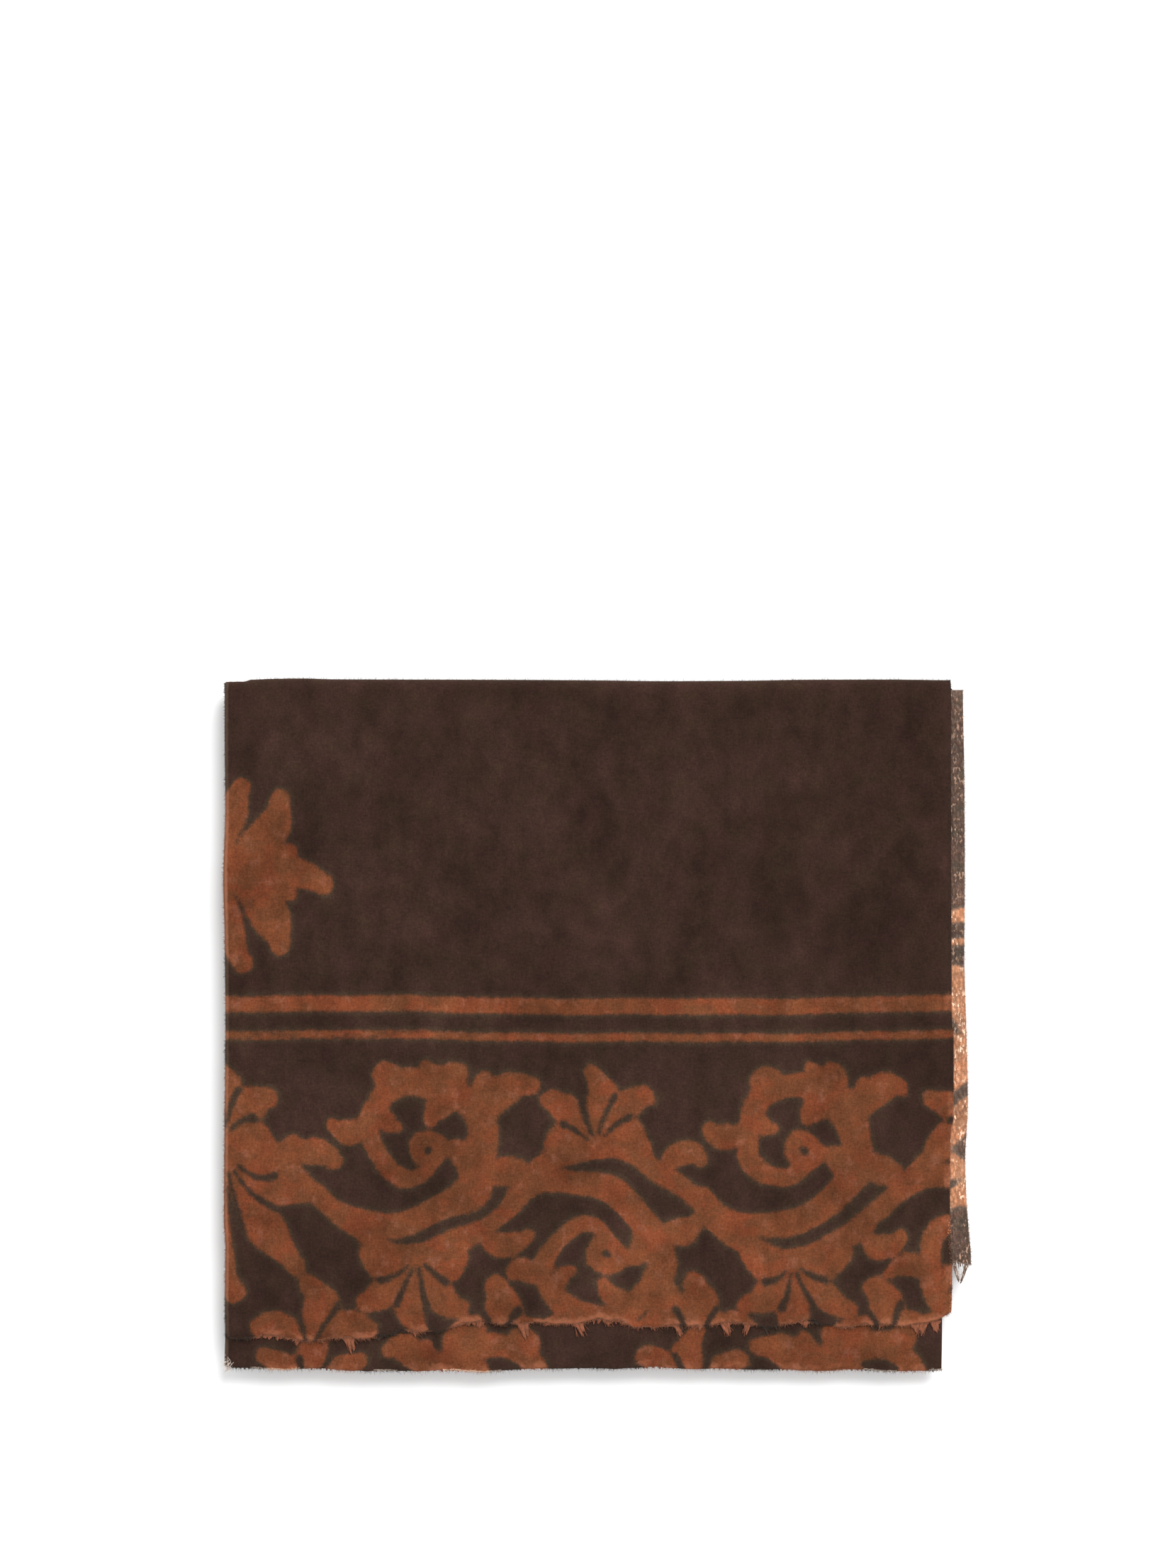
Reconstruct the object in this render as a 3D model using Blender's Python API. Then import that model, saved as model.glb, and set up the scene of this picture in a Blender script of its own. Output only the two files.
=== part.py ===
"""A cashmere scarf folded into a flat parcel, as it lies on a table.

The scarf is one rectangle of brushed cloth, folded in half lengthwise, in half crosswise and
then in thirds, so that twelve plies lie on each other. The upper four plies show. They are two
leaves, each one cloth wall with a lengthwise fold at the left: leaf_1 is plies A and B, and
leaf_2 inside it is plies C and D. Both turn under at the back. The eight plies below share one
solid, folded_core, layered at its edges. The raw ends of plies A, B and C carry short tufts.

Units are metres. X runs to the right, Y to the back and Z up.
"""

import math
import random
from collections import namedtuple

import bmesh
import bpy
import numpy as np

# The cloth and the way it is folded
SCARF_WIDTH = 0.700
PLY = 0.0012
AIR = 0.0003
PITCH = PLY + AIR
CORE_PLIES = 8
FOLD_RADIUS = PLY + AIR / 2
INNER_RADIUS = AIR / 2
TURN_HEIGHT = CORE_PLIES * PITCH - AIR / 2

# The parcel's outline, from its middle
FOLD_X = -0.1790
FACE_WIDTH = SCARF_WIDTH / 2
BACK_LINE = 0.1603
CORE_FRONT = -0.1620
CORE_LOW_BACK = 0.1630
CORE_SETBACK = 0.0013
TAIL = 0.0010
CORNER = 0.0030

# Each table goes along the first column, and gives the second one
Edge = namedtuple("Edge", "y x")
End = namedtuple("End", "x y")
Pull = namedtuple("Pull", "x back")

FOLD_A = [
    Edge(-0.162, -0.1784),
    Edge(-0.135, -0.1792),
    Edge(-0.107, -0.1789),
    Edge(-0.094, -0.1796),
    Edge(-0.052, -0.1793),
    Edge(0.000, -0.1789),
    Edge(0.043, -0.1792),
    Edge(0.070, -0.1799),
    Edge(0.104, -0.1789),
    Edge(0.138, -0.1793),
]
SELVEDGE_A = [
    Edge(-0.142, 0.1690),
    Edge(-0.137, 0.1709),
    Edge(-0.116, 0.1712),
    Edge(-0.105, 0.1703),
    Edge(-0.080, 0.1700),
    Edge(-0.052, 0.1704),
    Edge(-0.044, 0.1718),
    Edge(-0.008, 0.1718),
    Edge(0.004, 0.1709),
    Edge(0.160, 0.1705),
]
SELVEDGE_B = [
    Edge(-0.112, 0.1796),
    Edge(-0.102, 0.1787),
    Edge(-0.084, 0.1773),
    Edge(-0.066, 0.1768),
    Edge(-0.038, 0.1779),
    Edge(-0.008, 0.1772),
    Edge(0.035, 0.1760),
    Edge(0.070, 0.1767),
    Edge(0.118, 0.1764),
    Edge(0.160, 0.1757),
]
FOLD_C = [Edge(-0.162, -0.1782), Edge(-0.120, -0.1786), Edge(0.160, -0.1780)]
SELVEDGE_C = [Edge(-0.162, 0.1658), Edge(-0.130, 0.1662), Edge(0.160, 0.1705)]
SELVEDGE_D = [Edge(-0.162, 0.1640), Edge(-0.130, 0.1638), Edge(0.160, 0.1690)]

END_A = [End(-0.179, -0.1445), End(-0.060, -0.1415), End(0.060, -0.1392), End(0.172, -0.1392)]
END_B = [End(-0.179, -0.1445), End(0.000, -0.1290), End(0.180, -0.1118)]
END_C = [End(-0.179, -0.1600), End(-0.150, -0.1612), End(0.166, -0.1615)]
END_D = [End(-0.179, -0.1600), End(0.000, -0.1585), End(0.166, -0.1570)]

# How far the plies inside the back turn are pulled in towards the right
BACK_PULL = [Pull(-0.180, 0.0), Pull(0.090, 0.0), Pull(0.165, 0.0034), Pull(0.181, 0.0034)]
NO_PULL = [Pull(-0.180, 0.0), Pull(0.181, 0.0)]

# The hidden plies, from the table up: where their folds lie, and their selvedges at the front
CORE_FOLDS = [-0.1772, -0.1779, -0.1768, -0.1776]
CORE_SELVEDGES = [0.1602, 0.1625, 0.1588, 0.1610, 0.1632, 0.1596, 0.1620, 0.1606]
SELVEDGE_SPREAD = 0.0090
SPREAD_FROM = -0.115
PLY_EDGE = 0.0003
GROOVE = 0.0009
SWAY = 0.0005
SWAY_RUN = 0.021
CORNER_BEVEL = 0.3 * CORNER
ACROSS_STEPS = [CORNER, 0.04, 0.10, 0.17, 0.24, 0.285, 0.32]
ALONG_STEPS = [CORNER, 0.05, 0.11, 0.17, 0.23, 0.28]
TOP_RINGS = [0.86, 0.66, 0.44, 0.22]

# How the parcel's height varies: its folds are springy and its open side lies flatter
OPEN_SIDE_DROP = 0.085
FRONT_DROP = 0.045
EDGE_DROOP = 0.16
EDGE_DROOP_FROM = 0.150
EDGE_DROOP_RUN = 0.030
SWELL = 0.012
FRONT_DROOP = 0.0018
DROOP_START = -0.153
FRONT_EDGE = -0.166
FALL_RUN = 0.012

# How finely the leaves are divided
FLAT_SHARES = [0.0, 0.06, 0.16, 0.30, 0.45, 0.60, 0.75, 0.86, 0.92, 0.965, 1.0]
FOLD_STEPS = 6
LEAD_SHARES = [0.0, 0.34, 0.67]
LEAST_LEAD = 0.0045
FLAT_STATIONS = 11
TURN_STEPS = 8

# The tufts at the raw ends
STRIP = 0.0024
STRIP_PLY = 0.0010
TIP_NARROWING = 0.24
TIP_TOP = 0.0007
TIP_BOTTOM = 0.00025
Fringe = namedtuple("Fringe", "name end count left right shortest longest width lean seed")
FRINGE_A = Fringe("fringe_a", END_A, 48, -0.1765, 0.1672, 0.0012, 0.0058, 0.0055, 0.0018, 11)
FRINGE_B = Fringe("fringe_b", END_B, 4, 0.1722, 0.1792, 0.0022, 0.0085, 0.0013, 0.0012, 12)
FRINGE_C = Fringe("fringe_c", END_C, 46, -0.1745, 0.1645, 0.0004, 0.0018, 0.0055, 0.0006, 13)

Leaf = namedtuple("Leaf", "name top_ply fold over under over_end under_end over_pull")
LEAVES = [
    Leaf("leaf_1", 11, FOLD_A, SELVEDGE_A, SELVEDGE_B, END_A, END_B, NO_PULL),
    Leaf("leaf_2", 9, FOLD_C, SELVEDGE_C, SELVEDGE_D, END_C, END_D, BACK_PULL),
]

Look = namedtuple("Look", "colour roughness")
BROWN_CLOTH = Look((0.048, 0.026, 0.019), 0.95)
PALE_TUFTS = Look((0.21, 0.075, 0.034), 0.95)


def value_at(table, place):
    """The second column of a table at a place along its first one."""
    first, second = zip(*table)
    return float(np.interp(place, first, second))


def smooth(low, high, value):
    """0 below low, 1 above high, and a soft step between them."""
    share = min(max((value - low) / (high - low), 0.0), 1.0)
    return share * share * (3 - 2 * share)


def settled(x, y, z):
    """A point of the parcel after its plies have settled under their own weight."""
    tilt = 1 - OPEN_SIDE_DROP * smooth(0.0, 0.175, x)
    tilt -= FRONT_DROP * smooth(0.02, -0.16, y)
    tilt -= EDGE_DROOP * (max(x - EDGE_DROOP_FROM, 0.0) / EDGE_DROOP_RUN) ** 2
    swell = SWELL * math.sin(x / 0.042 + 0.6) * math.cos(y / 0.055)
    return x, y, z * (tilt + swell)


def drooped(y, z):
    """The height of a ply that hangs over the rounded front fold."""
    beyond = max(DROOP_START - y, 0.0) / (DROOP_START - FRONT_EDGE)
    return z - FRONT_DROOP * beyond**2


def fallen(over_end, under_end, x):
    """How far an upper ply drops past the end of the ply below it."""
    ahead = max(value_at(under_end, x) - value_at(over_end, x), 0.0)
    from_fold = max(x - FOLD_X, 0.0) / FACE_WIDTH
    return PITCH * min(ahead / FALL_RUN, 1.0) * math.sqrt(from_fold)


def new_object(name, mesh_data, look):
    """One named object from a bmesh, with its own material."""
    bmesh.ops.recalc_face_normals(mesh_data, faces=mesh_data.faces)
    mesh = bpy.data.meshes.new(name)
    mesh_data.to_mesh(mesh)
    mesh_data.free()
    material = bpy.data.materials.new(name)
    material.use_nodes = True
    shader = material.node_tree.nodes["Principled BSDF"]
    shader.inputs["Base Color"].default_value = (*look.colour, 1.0)
    shader.inputs["Roughness"].default_value = look.roughness
    shader.inputs["Metallic"].default_value = 0.0
    mesh.materials.append(material)
    mesh.shade_smooth()
    mesh.set_sharp_from_angle(angle=math.radians(50))
    made = bpy.data.objects.new(name, mesh)
    bpy.context.scene.collection.objects.link(made)
    return made


def skin(rings, cap_start, cap_end):
    """A bmesh of closed rings joined one to the next, with the given faces at its two ends."""
    mesh_data = bmesh.new()
    made = [[mesh_data.verts.new(settled(*point)) for point in ring] for ring in rings]
    count = len(rings[0])
    for ring, following in zip(made, made[1:]):
        for i in range(count):
            j = (i + 1) % count
            mesh_data.faces.new((ring[i], ring[j], following[j], following[i]))
    for face in cap_start:
        mesh_data.faces.new([made[0][i] for i in face])
    for face in cap_end:
        mesh_data.faces.new([made[-1][i] for i in face])
    return mesh_data


# A leaf is its folded section, swept from the raw ends to the back and round the turn
Place = namedtuple("Place", "upper share inset height")


def section(leaf):
    """The outer and the inner points of a leaf's section, from ply A's or C's selvedge round."""
    top = leaf.top_ply * PITCH + PLY - TURN_HEIGHT
    middle = top - PLY - AIR / 2
    outer = []
    inner = []
    for share in reversed(FLAT_SHARES[1:]):
        outer.append(Place(True, share, FOLD_RADIUS, top))
        inner.append(Place(True, share, FOLD_RADIUS, top - PLY))
    for step in range(FOLD_STEPS + 1):
        angle = math.pi * step / FOLD_STEPS
        aside, up = math.sin(angle), math.cos(angle)
        upper = step <= FOLD_STEPS / 2
        outer.append(Place(upper, 0.0, FOLD_RADIUS * (1 - aside), middle + FOLD_RADIUS * up))
        inset = FOLD_RADIUS - INNER_RADIUS * aside
        inner.append(Place(upper, 0.0, inset, middle + INNER_RADIUS * up))
    for share in FLAT_SHARES[1:]:
        outer.append(Place(False, share, FOLD_RADIUS, top - 2 * PLY - AIR))
        inner.append(Place(False, share, FOLD_RADIUS, top - PLY - AIR))
    return outer, inner


def across(leaf, place, y):
    """A section point's place across the parcel."""
    fold = value_at(leaf.fold, y) + place.inset
    selvedge = value_at(leaf.over if place.upper else leaf.under, y)
    return fold + place.share * (selvedge - fold)


def turn_start(leaf, place):
    """Where a ply leaves the flat panel and turns under."""
    pull = leaf.over_pull if place.upper else BACK_PULL
    return BACK_LINE - value_at(pull, across(leaf, place, BACK_LINE))


def flat_point(leaf, place, station):
    """A point of a leaf's flat panel; the first stations follow the raw ends."""
    edge = leaf.over if place.upper else leaf.under
    guess = FOLD_X + place.share * (edge[0].x - FOLD_X)
    over_end = value_at(leaf.over_end, guess)
    under_end = value_at(leaf.under_end, guess)
    end = over_end if place.upper else under_end
    lead = max(under_end - end, LEAST_LEAD)
    leads = len(LEAD_SHARES)
    if station < leads:
        y = end + lead * LEAD_SHARES[station]
    else:
        share = (station - leads) / (FLAT_STATIONS - leads)
        y = end + lead + (turn_start(leaf, place) - end - lead) * share
    z = TURN_HEIGHT + place.height
    if place.upper and station < leads:
        z -= fallen(leaf.over_end, leaf.under_end, guess)
    return across(leaf, place, y), y, drooped(y, z)


def leaf_ring(leaf, places, station):
    """One ring of a leaf: across the panel, then round the back turn, then its short tail."""
    points = []
    for place in places:
        x, y, z = flat_point(leaf, place, min(station, FLAT_STATIONS))
        turned = station - FLAT_STATIONS
        if turned > TURN_STEPS:
            y = BACK_LINE - value_at(BACK_PULL, x) - TAIL
            z = TURN_HEIGHT - place.height
        elif turned > 0:
            angle = math.pi * turned / TURN_STEPS
            y += place.height * math.sin(angle)
            z = TURN_HEIGHT + place.height * math.cos(angle)
        points.append((x, y, z))
    return points


def make_leaf(leaf):
    outer, inner = section(leaf)
    places = outer + inner[::-1]
    rings = [leaf_ring(leaf, places, i) for i in range(FLAT_STATIONS + TURN_STEPS + 2)]
    last = len(places) - 1
    strip = [(i, i + 1, last - i - 1, last - i) for i in range(len(outer) - 1)]
    return new_object(leaf.name, skin(rings, strip, strip), BROWN_CLOTH)


# The core is a stack of level outlines, drawn in between its plies
Level = namedtuple("Level", "z ply groove")


def core_levels():
    """The heights where the core's outline changes: two for each ply and one between plies."""
    levels = [Level(0.0, 0, PLY_EDGE)]
    for ply in range(CORE_PLIES):
        bottom = ply * PITCH
        levels.append(Level(bottom + PLY / 4, ply, 0.0))
        levels.append(Level(bottom + PLY * 3 / 4, ply, 0.0))
        if ply < CORE_PLIES - 1:
            levels.append(Level(bottom + PLY + AIR / 2, ply, GROOVE))
    levels.append(Level(CORE_PLIES * PITCH - AIR, CORE_PLIES - 1, PLY_EDGE))
    return levels


def round_inset(z, middle, radius):
    """How far a round fold's surface lies behind its outermost line at a height."""
    return radius - math.sqrt(max(radius**2 - (z - middle) ** 2, 0.0))


def core_sides(level):
    """The left, right and front of the core at one level."""
    leaf = level.ply // 2
    leaf_middle = (2 * leaf + 1) * PITCH - AIR / 2
    left = CORE_FOLDS[leaf] + round_inset(level.z, leaf_middle, FOLD_RADIUS)
    right = CORE_SELVEDGES[level.ply] - level.groove
    half = CORE_PLIES * PITCH / 2 - AIR / 2
    return left, right, CORE_FRONT + round_inset(level.z, half, half)


def core_back(level, x):
    """The back of the core: a round fold below, and the butt of the turned plies above it."""
    fold_top = CORE_PLIES // 2 * PITCH - AIR
    if level.z > fold_top:
        return BACK_LINE - CORE_SETBACK - value_at(BACK_PULL, x)
    return CORE_LOW_BACK - round_inset(level.z, fold_top / 2, fold_top / 2)


def core_outline(level):
    """One level's outline, counted round from the front left corner."""
    left, right, front = core_sides(level)
    sway = [SWAY * math.sin((front + step) / SWAY_RUN + 1.7 * level.ply) for step in ALONG_STEPS]
    spread = SELVEDGE_SPREAD * (1 + 0.2 * math.sin(2.3 * level.ply))
    spreads = [spread * smooth(SPREAD_FROM, BACK_LINE, front + step) for step in ALONG_STEPS]
    back_right = right + spread
    points = [(left + step, front) for step in ACROSS_STEPS]
    points.append((right - CORNER, front))
    points.append((right - CORNER_BEVEL, front + CORNER_BEVEL))
    for step, aside, wider in zip(ALONG_STEPS, sway, spreads):
        points.append((right + aside + wider, front + step))
    end = core_back(level, back_right)
    points.append((back_right, end - CORNER))
    points.append((back_right - CORNER_BEVEL, end - CORNER_BEVEL))
    points.append((back_right - CORNER, core_back(level, back_right - CORNER)))
    points += [(left + step, core_back(level, left + step)) for step in reversed(ACROSS_STEPS)]
    end = core_back(level, left)
    points.append((left + CORNER_BEVEL, end - CORNER_BEVEL))
    points.append((left, end - CORNER))
    for step, aside in zip(reversed(ALONG_STEPS), reversed(sway)):
        points.append((left + aside, front + step))
    points.append((left + CORNER_BEVEL, front + CORNER_BEVEL))
    return [(x, y, level.z) for x, y in points]


def make_core():
    """The eight hidden plies, with a curved upper face that the leaves lie on."""
    rings = [core_outline(level) for level in core_levels()]
    top = rings[-1]
    middle = np.mean(np.array(top), axis=0)
    for share in TOP_RINGS:
        rings.append([tuple(middle + share * (np.array(point) - middle)) for point in top])
    whole = [tuple(range(len(top)))]
    return new_object("folded_core", skin(rings, whole, whole), BROWN_CLOTH)


# A raw end's strip follows the cloth's edge, and each tuft is drawn out of its front face
Tuft = namedtuple("Tuft", "left right length lean")


def tufts_of(fringe):
    """The places and sizes of a fringe's tufts, from left to right."""
    draw = random.Random(fringe.seed)
    step = (fringe.right - fringe.left) / fringe.count
    made = []
    for i in range(fringe.count):
        middle = fringe.left + (i + 0.5 + draw.uniform(-0.12, 0.12)) * step
        half = min(fringe.width, 0.62 * step) * draw.uniform(0.32, 0.5)
        length = draw.uniform(fringe.shortest, fringe.longest)
        lean = draw.uniform(-1, 1) * fringe.lean
        made.append(Tuft(middle - half, middle + half, length, lean))
    return made


def make_fringe(fringe, floor):
    """A strip along a raw end, with its tufts; floor gives the cloth's lower face at a point."""
    mesh_data = bmesh.new()

    def corner(x, forward, up):
        y = value_at(fringe.end, x) - AIR - forward
        return mesh_data.verts.new(settled(x, y, floor(x, y) + up))

    def post(x):
        places = ((0, 0), (0, STRIP_PLY), (STRIP, STRIP_PLY), (STRIP, 0))
        return [corner(x, forward, up) for forward, up in places]

    def wall(near, far, sides):
        for a, b in sides:
            mesh_data.faces.new((near[a], near[b], far[b], far[a]))

    closed_sides = ((0, 1), (1, 2), (3, 0))
    near = post(fringe.left)
    mesh_data.faces.new(near)
    for tuft in tufts_of(fringe):
        start, stop = post(tuft.left), post(tuft.right)
        wall(near, start, closed_sides + ((2, 3),))
        wall(start, stop, closed_sides)
        narrowed = TIP_NARROWING * (tuft.right - tuft.left)
        tips = []
        for x, up in (
            (tuft.left + narrowed, TIP_TOP),
            (tuft.left + narrowed, TIP_BOTTOM),
            (tuft.right - narrowed, TIP_BOTTOM),
            (tuft.right - narrowed, TIP_TOP),
        ):
            tips.append(corner(x + tuft.lean, STRIP + tuft.length, up))
        roots = [start[2], start[3], stop[3], stop[2]]
        wall(roots, tips, ((0, 1), (1, 2), (2, 3), (3, 0)))
        mesh_data.faces.new(tips)
        near = stop
    far = post(fringe.right)
    wall(near, far, closed_sides + ((2, 3),))
    mesh_data.faces.new(far)
    return new_object(fringe.name, mesh_data, PALE_TUFTS)


def floor_a(x, y):
    return 11 * PITCH - fallen(END_A, END_B, x)


def floor_b(x, y):
    return 10 * PITCH


def floor_c(x, y):
    return drooped(y, 9 * PITCH - fallen(END_C, END_D, x))


def centre_on_origin(objects):
    """Moves the meshes so that the parcel's box stands centred on the origin."""
    points = np.array([vertex.co for made in objects for vertex in made.data.vertices])
    lowest, highest = points.min(axis=0), points.max(axis=0)
    shift = np.array([(lowest[0] + highest[0]) / 2, (lowest[1] + highest[1]) / 2, lowest[2]])
    for made in objects:
        for vertex in made.data.vertices:
            vertex.co = tuple(np.array(vertex.co) - shift)


def main():
    for old in list(bpy.data.objects):
        bpy.data.objects.remove(old, do_unlink=True)
    objects = [make_leaf(leaf) for leaf in LEAVES]
    objects.append(make_core())
    objects.append(make_fringe(FRINGE_A, floor_a))
    objects.append(make_fringe(FRINGE_B, floor_b))
    objects.append(make_fringe(FRINGE_C, floor_c))
    centre_on_origin(objects)


main()
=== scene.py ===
"""The looks of a folded cashmere scarf: its fine cloth shells, print, nap, tufts and light.

The parcel lies as the frame holds it: X to the right, Y to the back, Z up, in metres. Every
shell follows the same folds, ends and selvedges as the frame's solids, only more finely.
"""

import math
from collections import namedtuple

import bpy
import numpy as np
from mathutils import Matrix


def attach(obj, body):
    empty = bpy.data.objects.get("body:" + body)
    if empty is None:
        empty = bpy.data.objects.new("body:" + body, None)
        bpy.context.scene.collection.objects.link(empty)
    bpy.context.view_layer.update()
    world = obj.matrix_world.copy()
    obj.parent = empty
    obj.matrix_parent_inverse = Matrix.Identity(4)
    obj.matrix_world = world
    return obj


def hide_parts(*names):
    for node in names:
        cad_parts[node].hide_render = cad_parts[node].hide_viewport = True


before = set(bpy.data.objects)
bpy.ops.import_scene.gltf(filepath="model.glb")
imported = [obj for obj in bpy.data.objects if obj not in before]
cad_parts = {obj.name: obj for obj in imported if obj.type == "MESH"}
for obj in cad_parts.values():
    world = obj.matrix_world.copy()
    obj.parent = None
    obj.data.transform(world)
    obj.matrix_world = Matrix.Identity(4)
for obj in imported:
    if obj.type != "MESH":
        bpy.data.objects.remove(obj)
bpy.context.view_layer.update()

# The cloth and its folds, as the frame's solids have them
PLY = 0.0012
AIR = 0.0003
PITCH = PLY + AIR
CORE_PLIES = 8
FOLD_RADIUS = PLY + AIR / 2
INNER_RADIUS = AIR / 2
TURN_HEIGHT = CORE_PLIES * PITCH - AIR / 2
FOLD_X = -0.1790
FACE_WIDTH = 0.350
BACK_LINE = 0.1603
CORE_FRONT = -0.1620
CORE_LOW_BACK = 0.1630
CORE_SETBACK = 0.0013
TAIL = 0.0010

Edge = namedtuple("Edge", "y x")
End = namedtuple("End", "x y")
Pull = namedtuple("Pull", "x back")

FOLD_A = [
    Edge(-0.162, -0.1784),
    Edge(-0.135, -0.1792),
    Edge(-0.107, -0.1789),
    Edge(-0.094, -0.1796),
    Edge(-0.052, -0.1793),
    Edge(0.000, -0.1789),
    Edge(0.043, -0.1792),
    Edge(0.070, -0.1799),
    Edge(0.104, -0.1789),
    Edge(0.138, -0.1793),
]
SELVEDGE_A = [
    Edge(-0.145, 0.1664),
    Edge(-0.142, 0.1690),
    Edge(-0.137, 0.1709),
    Edge(-0.116, 0.1712),
    Edge(-0.105, 0.1703),
    Edge(-0.080, 0.1700),
    Edge(-0.052, 0.1704),
    Edge(-0.044, 0.1718),
    Edge(-0.008, 0.1718),
    Edge(0.004, 0.1709),
    Edge(0.160, 0.1705),
]
SELVEDGE_B = [
    Edge(-0.112, 0.1803),
    Edge(-0.102, 0.1795),
    Edge(-0.084, 0.1781),
    Edge(-0.066, 0.1775),
    Edge(-0.038, 0.1788),
    Edge(-0.008, 0.1782),
    Edge(0.035, 0.1771),
    Edge(0.070, 0.1773),
    Edge(0.118, 0.1771),
    Edge(0.160, 0.1764),
]
FOLD_C = [
    Edge(-0.166, -0.1797),
    Edge(-0.150, -0.1793),
    Edge(-0.120, -0.1786),
    Edge(0.160, -0.1780),
]
SELVEDGE_C = [Edge(-0.162, 0.1663), Edge(-0.130, 0.1666), Edge(0.160, 0.1705)]
SELVEDGE_D = [Edge(-0.162, 0.1640), Edge(-0.130, 0.1638), Edge(0.160, 0.1690)]

END_A = [End(-0.179, -0.1445), End(-0.060, -0.1415), End(0.060, -0.1392), End(0.172, -0.1392)]
END_B = [End(-0.179, -0.1445), End(0.000, -0.1290), End(0.180, -0.1118)]
END_C = [End(-0.179, -0.1600), End(-0.150, -0.1612), End(0.166, -0.1615)]
END_D = [End(-0.179, -0.1600), End(0.000, -0.1585), End(0.166, -0.1570)]

# The fine cloth reaches further than the solids' cloth, over the strips that carry the tufts
RAW_A = [
    End(-0.179, -0.1500),
    End(-0.150, -0.1512),
    End(-0.108, -0.1502),
    End(-0.085, -0.1470),
    End(-0.050, -0.1436),
    End(0.010, -0.1432),
    End(0.040, -0.1454),
    End(0.070, -0.1438),
    End(0.120, -0.1444),
    End(0.158, -0.1446),
    End(0.1655, -0.1438),
    End(0.169, -0.1414),
    End(0.172, -0.1385),
]
RAW_B = [End(-0.179, -0.1480), End(0.000, -0.1310), End(0.150, -0.1165), End(0.180, -0.1146)]
RAW_C = [
    End(-0.179, -0.1652),
    End(-0.172, -0.1660),
    End(-0.150, -0.1659),
    End(-0.116, -0.1669),
    End(-0.065, -0.1672),
    End(-0.014, -0.1659),
    End(0.037, -0.1658),
    End(0.088, -0.1667),
    End(0.139, -0.1671),
    End(0.158, -0.1673),
    End(0.163, -0.1676),
    End(0.166, -0.1668),
]
RAW_D = [End(-0.179, -0.1600), End(0.000, -0.1590), End(0.166, -0.1575)]
BACK_PULL = [Pull(-0.180, 0.0), Pull(0.090, 0.0), Pull(0.165, 0.0034), Pull(0.181, 0.0034)]
NO_PULL = [Pull(-0.180, 0.0), Pull(0.181, 0.0)]

# The back fold of the top ply dips at its left corner and waves a little
BACK_WAVE = [
    End(-0.179, -0.0010),
    End(-0.170, -0.0009),
    End(-0.167, 0.0000),
    End(-0.142, 0.0006),
    End(-0.128, 0.0002),
    End(-0.060, 0.0000),
    End(0.000, -0.0003),
    End(0.030, -0.0007),
    End(0.070, -0.0005),
    End(0.100, 0.0000),
    End(0.140, 0.0001),
    End(0.172, -0.0002),
]

CORE_FOLDS = [-0.1772, -0.1779, -0.1768, -0.1776]
CORE_SELVEDGES = [0.1602, 0.1625, 0.1588, 0.1610, 0.1632, 0.1596, 0.1620, 0.1606]
SELVEDGE_SPREAD = 0.0090
SPREAD_FROM = -0.115

# How the parcel settles, as in the frame's solids
OPEN_SIDE_DROP = 0.085
OPEN_SIDE_RUN = 0.175
FRONT_DROP = 0.045
FRONT_DROP_FROM = 0.02
FRONT_DROP_TO = -0.16
EDGE_DROOP = 0.16
EDGE_DROOP_FROM = 0.150
EDGE_DROOP_RUN = 0.030
SWELL = 0.012
SWELL_RUNS = (0.042, 0.055)
RIPPLE = 0.006
FRONT_DROOP = 0.0018
DROOP_START = -0.153
FRONT_EDGE = -0.166

# How a raw end falls past the end below it, how its rim lifts, and how ply A's last stretch dips
FALL_RUN = 0.012
FALL_START = 0.0005
FALL_LEAST = 0.0015
FALL_SHARE = 0.33
LIFT_RUN = 0.0030
END_DIP = 0.85
DIP_RUN = 0.0034

# The photograph's frame, in its own pixels, and its scale on the cloth
PHOTO_WIDE = 1658
PHOTO_HIGH = 2212
MM_PER_PIXEL = 0.3411
PARCEL_MIDDLE_PX = (842.5, 1445.6)
LENS_MM = 100.0
SENSOR_MM = 36.0
CLOTH_TOP = 0.0165


def along(table, at):
    """A soft curve through a table's rows, without overshoot: the second column along the first."""
    first, second = (np.array(column) for column in zip(*table))
    rise = np.diff(second) / np.diff(first)
    same_way = rise[:-1] * rise[1:] > 0
    total = np.where(same_way, rise[:-1] + rise[1:], 1.0)
    bends = np.where(same_way, 2 * rise[:-1] * rise[1:] / total, 0.0)
    slope = np.concatenate([[0.0], bends, [0.0]])
    i = np.clip(np.searchsorted(first, at) - 1, 0, len(first) - 2)
    span = first[i + 1] - first[i]
    t = np.clip((at - first[i]) / span, 0.0, 1.0)
    start = (1 + 2 * t) * (1 - t) ** 2 * second[i] + t * (1 - t) ** 2 * span * slope[i]
    return start + t * t * (3 - 2 * t) * second[i + 1] - t * t * (1 - t) * span * slope[i + 1]


def smooth(low, high, value):
    """0 below low, 1 above high, and a soft step between them."""
    share = np.clip((value - low) / (high - low), 0.0, 1.0)
    return share * share * (3 - 2 * share)


def ripple(x, y):
    """Faint unevenness of the piled cloth, from -1 to 1."""
    one = np.sin(x / 0.0137 + 1.3 * np.sin(y / 0.019)) * np.sin(y / 0.0171 + 0.8)
    two = np.sin(x / 0.0079 - y / 0.012 + 0.5) * np.sin(y / 0.0093 + x / 0.031)
    return 0.6 * one + 0.4 * two


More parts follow.
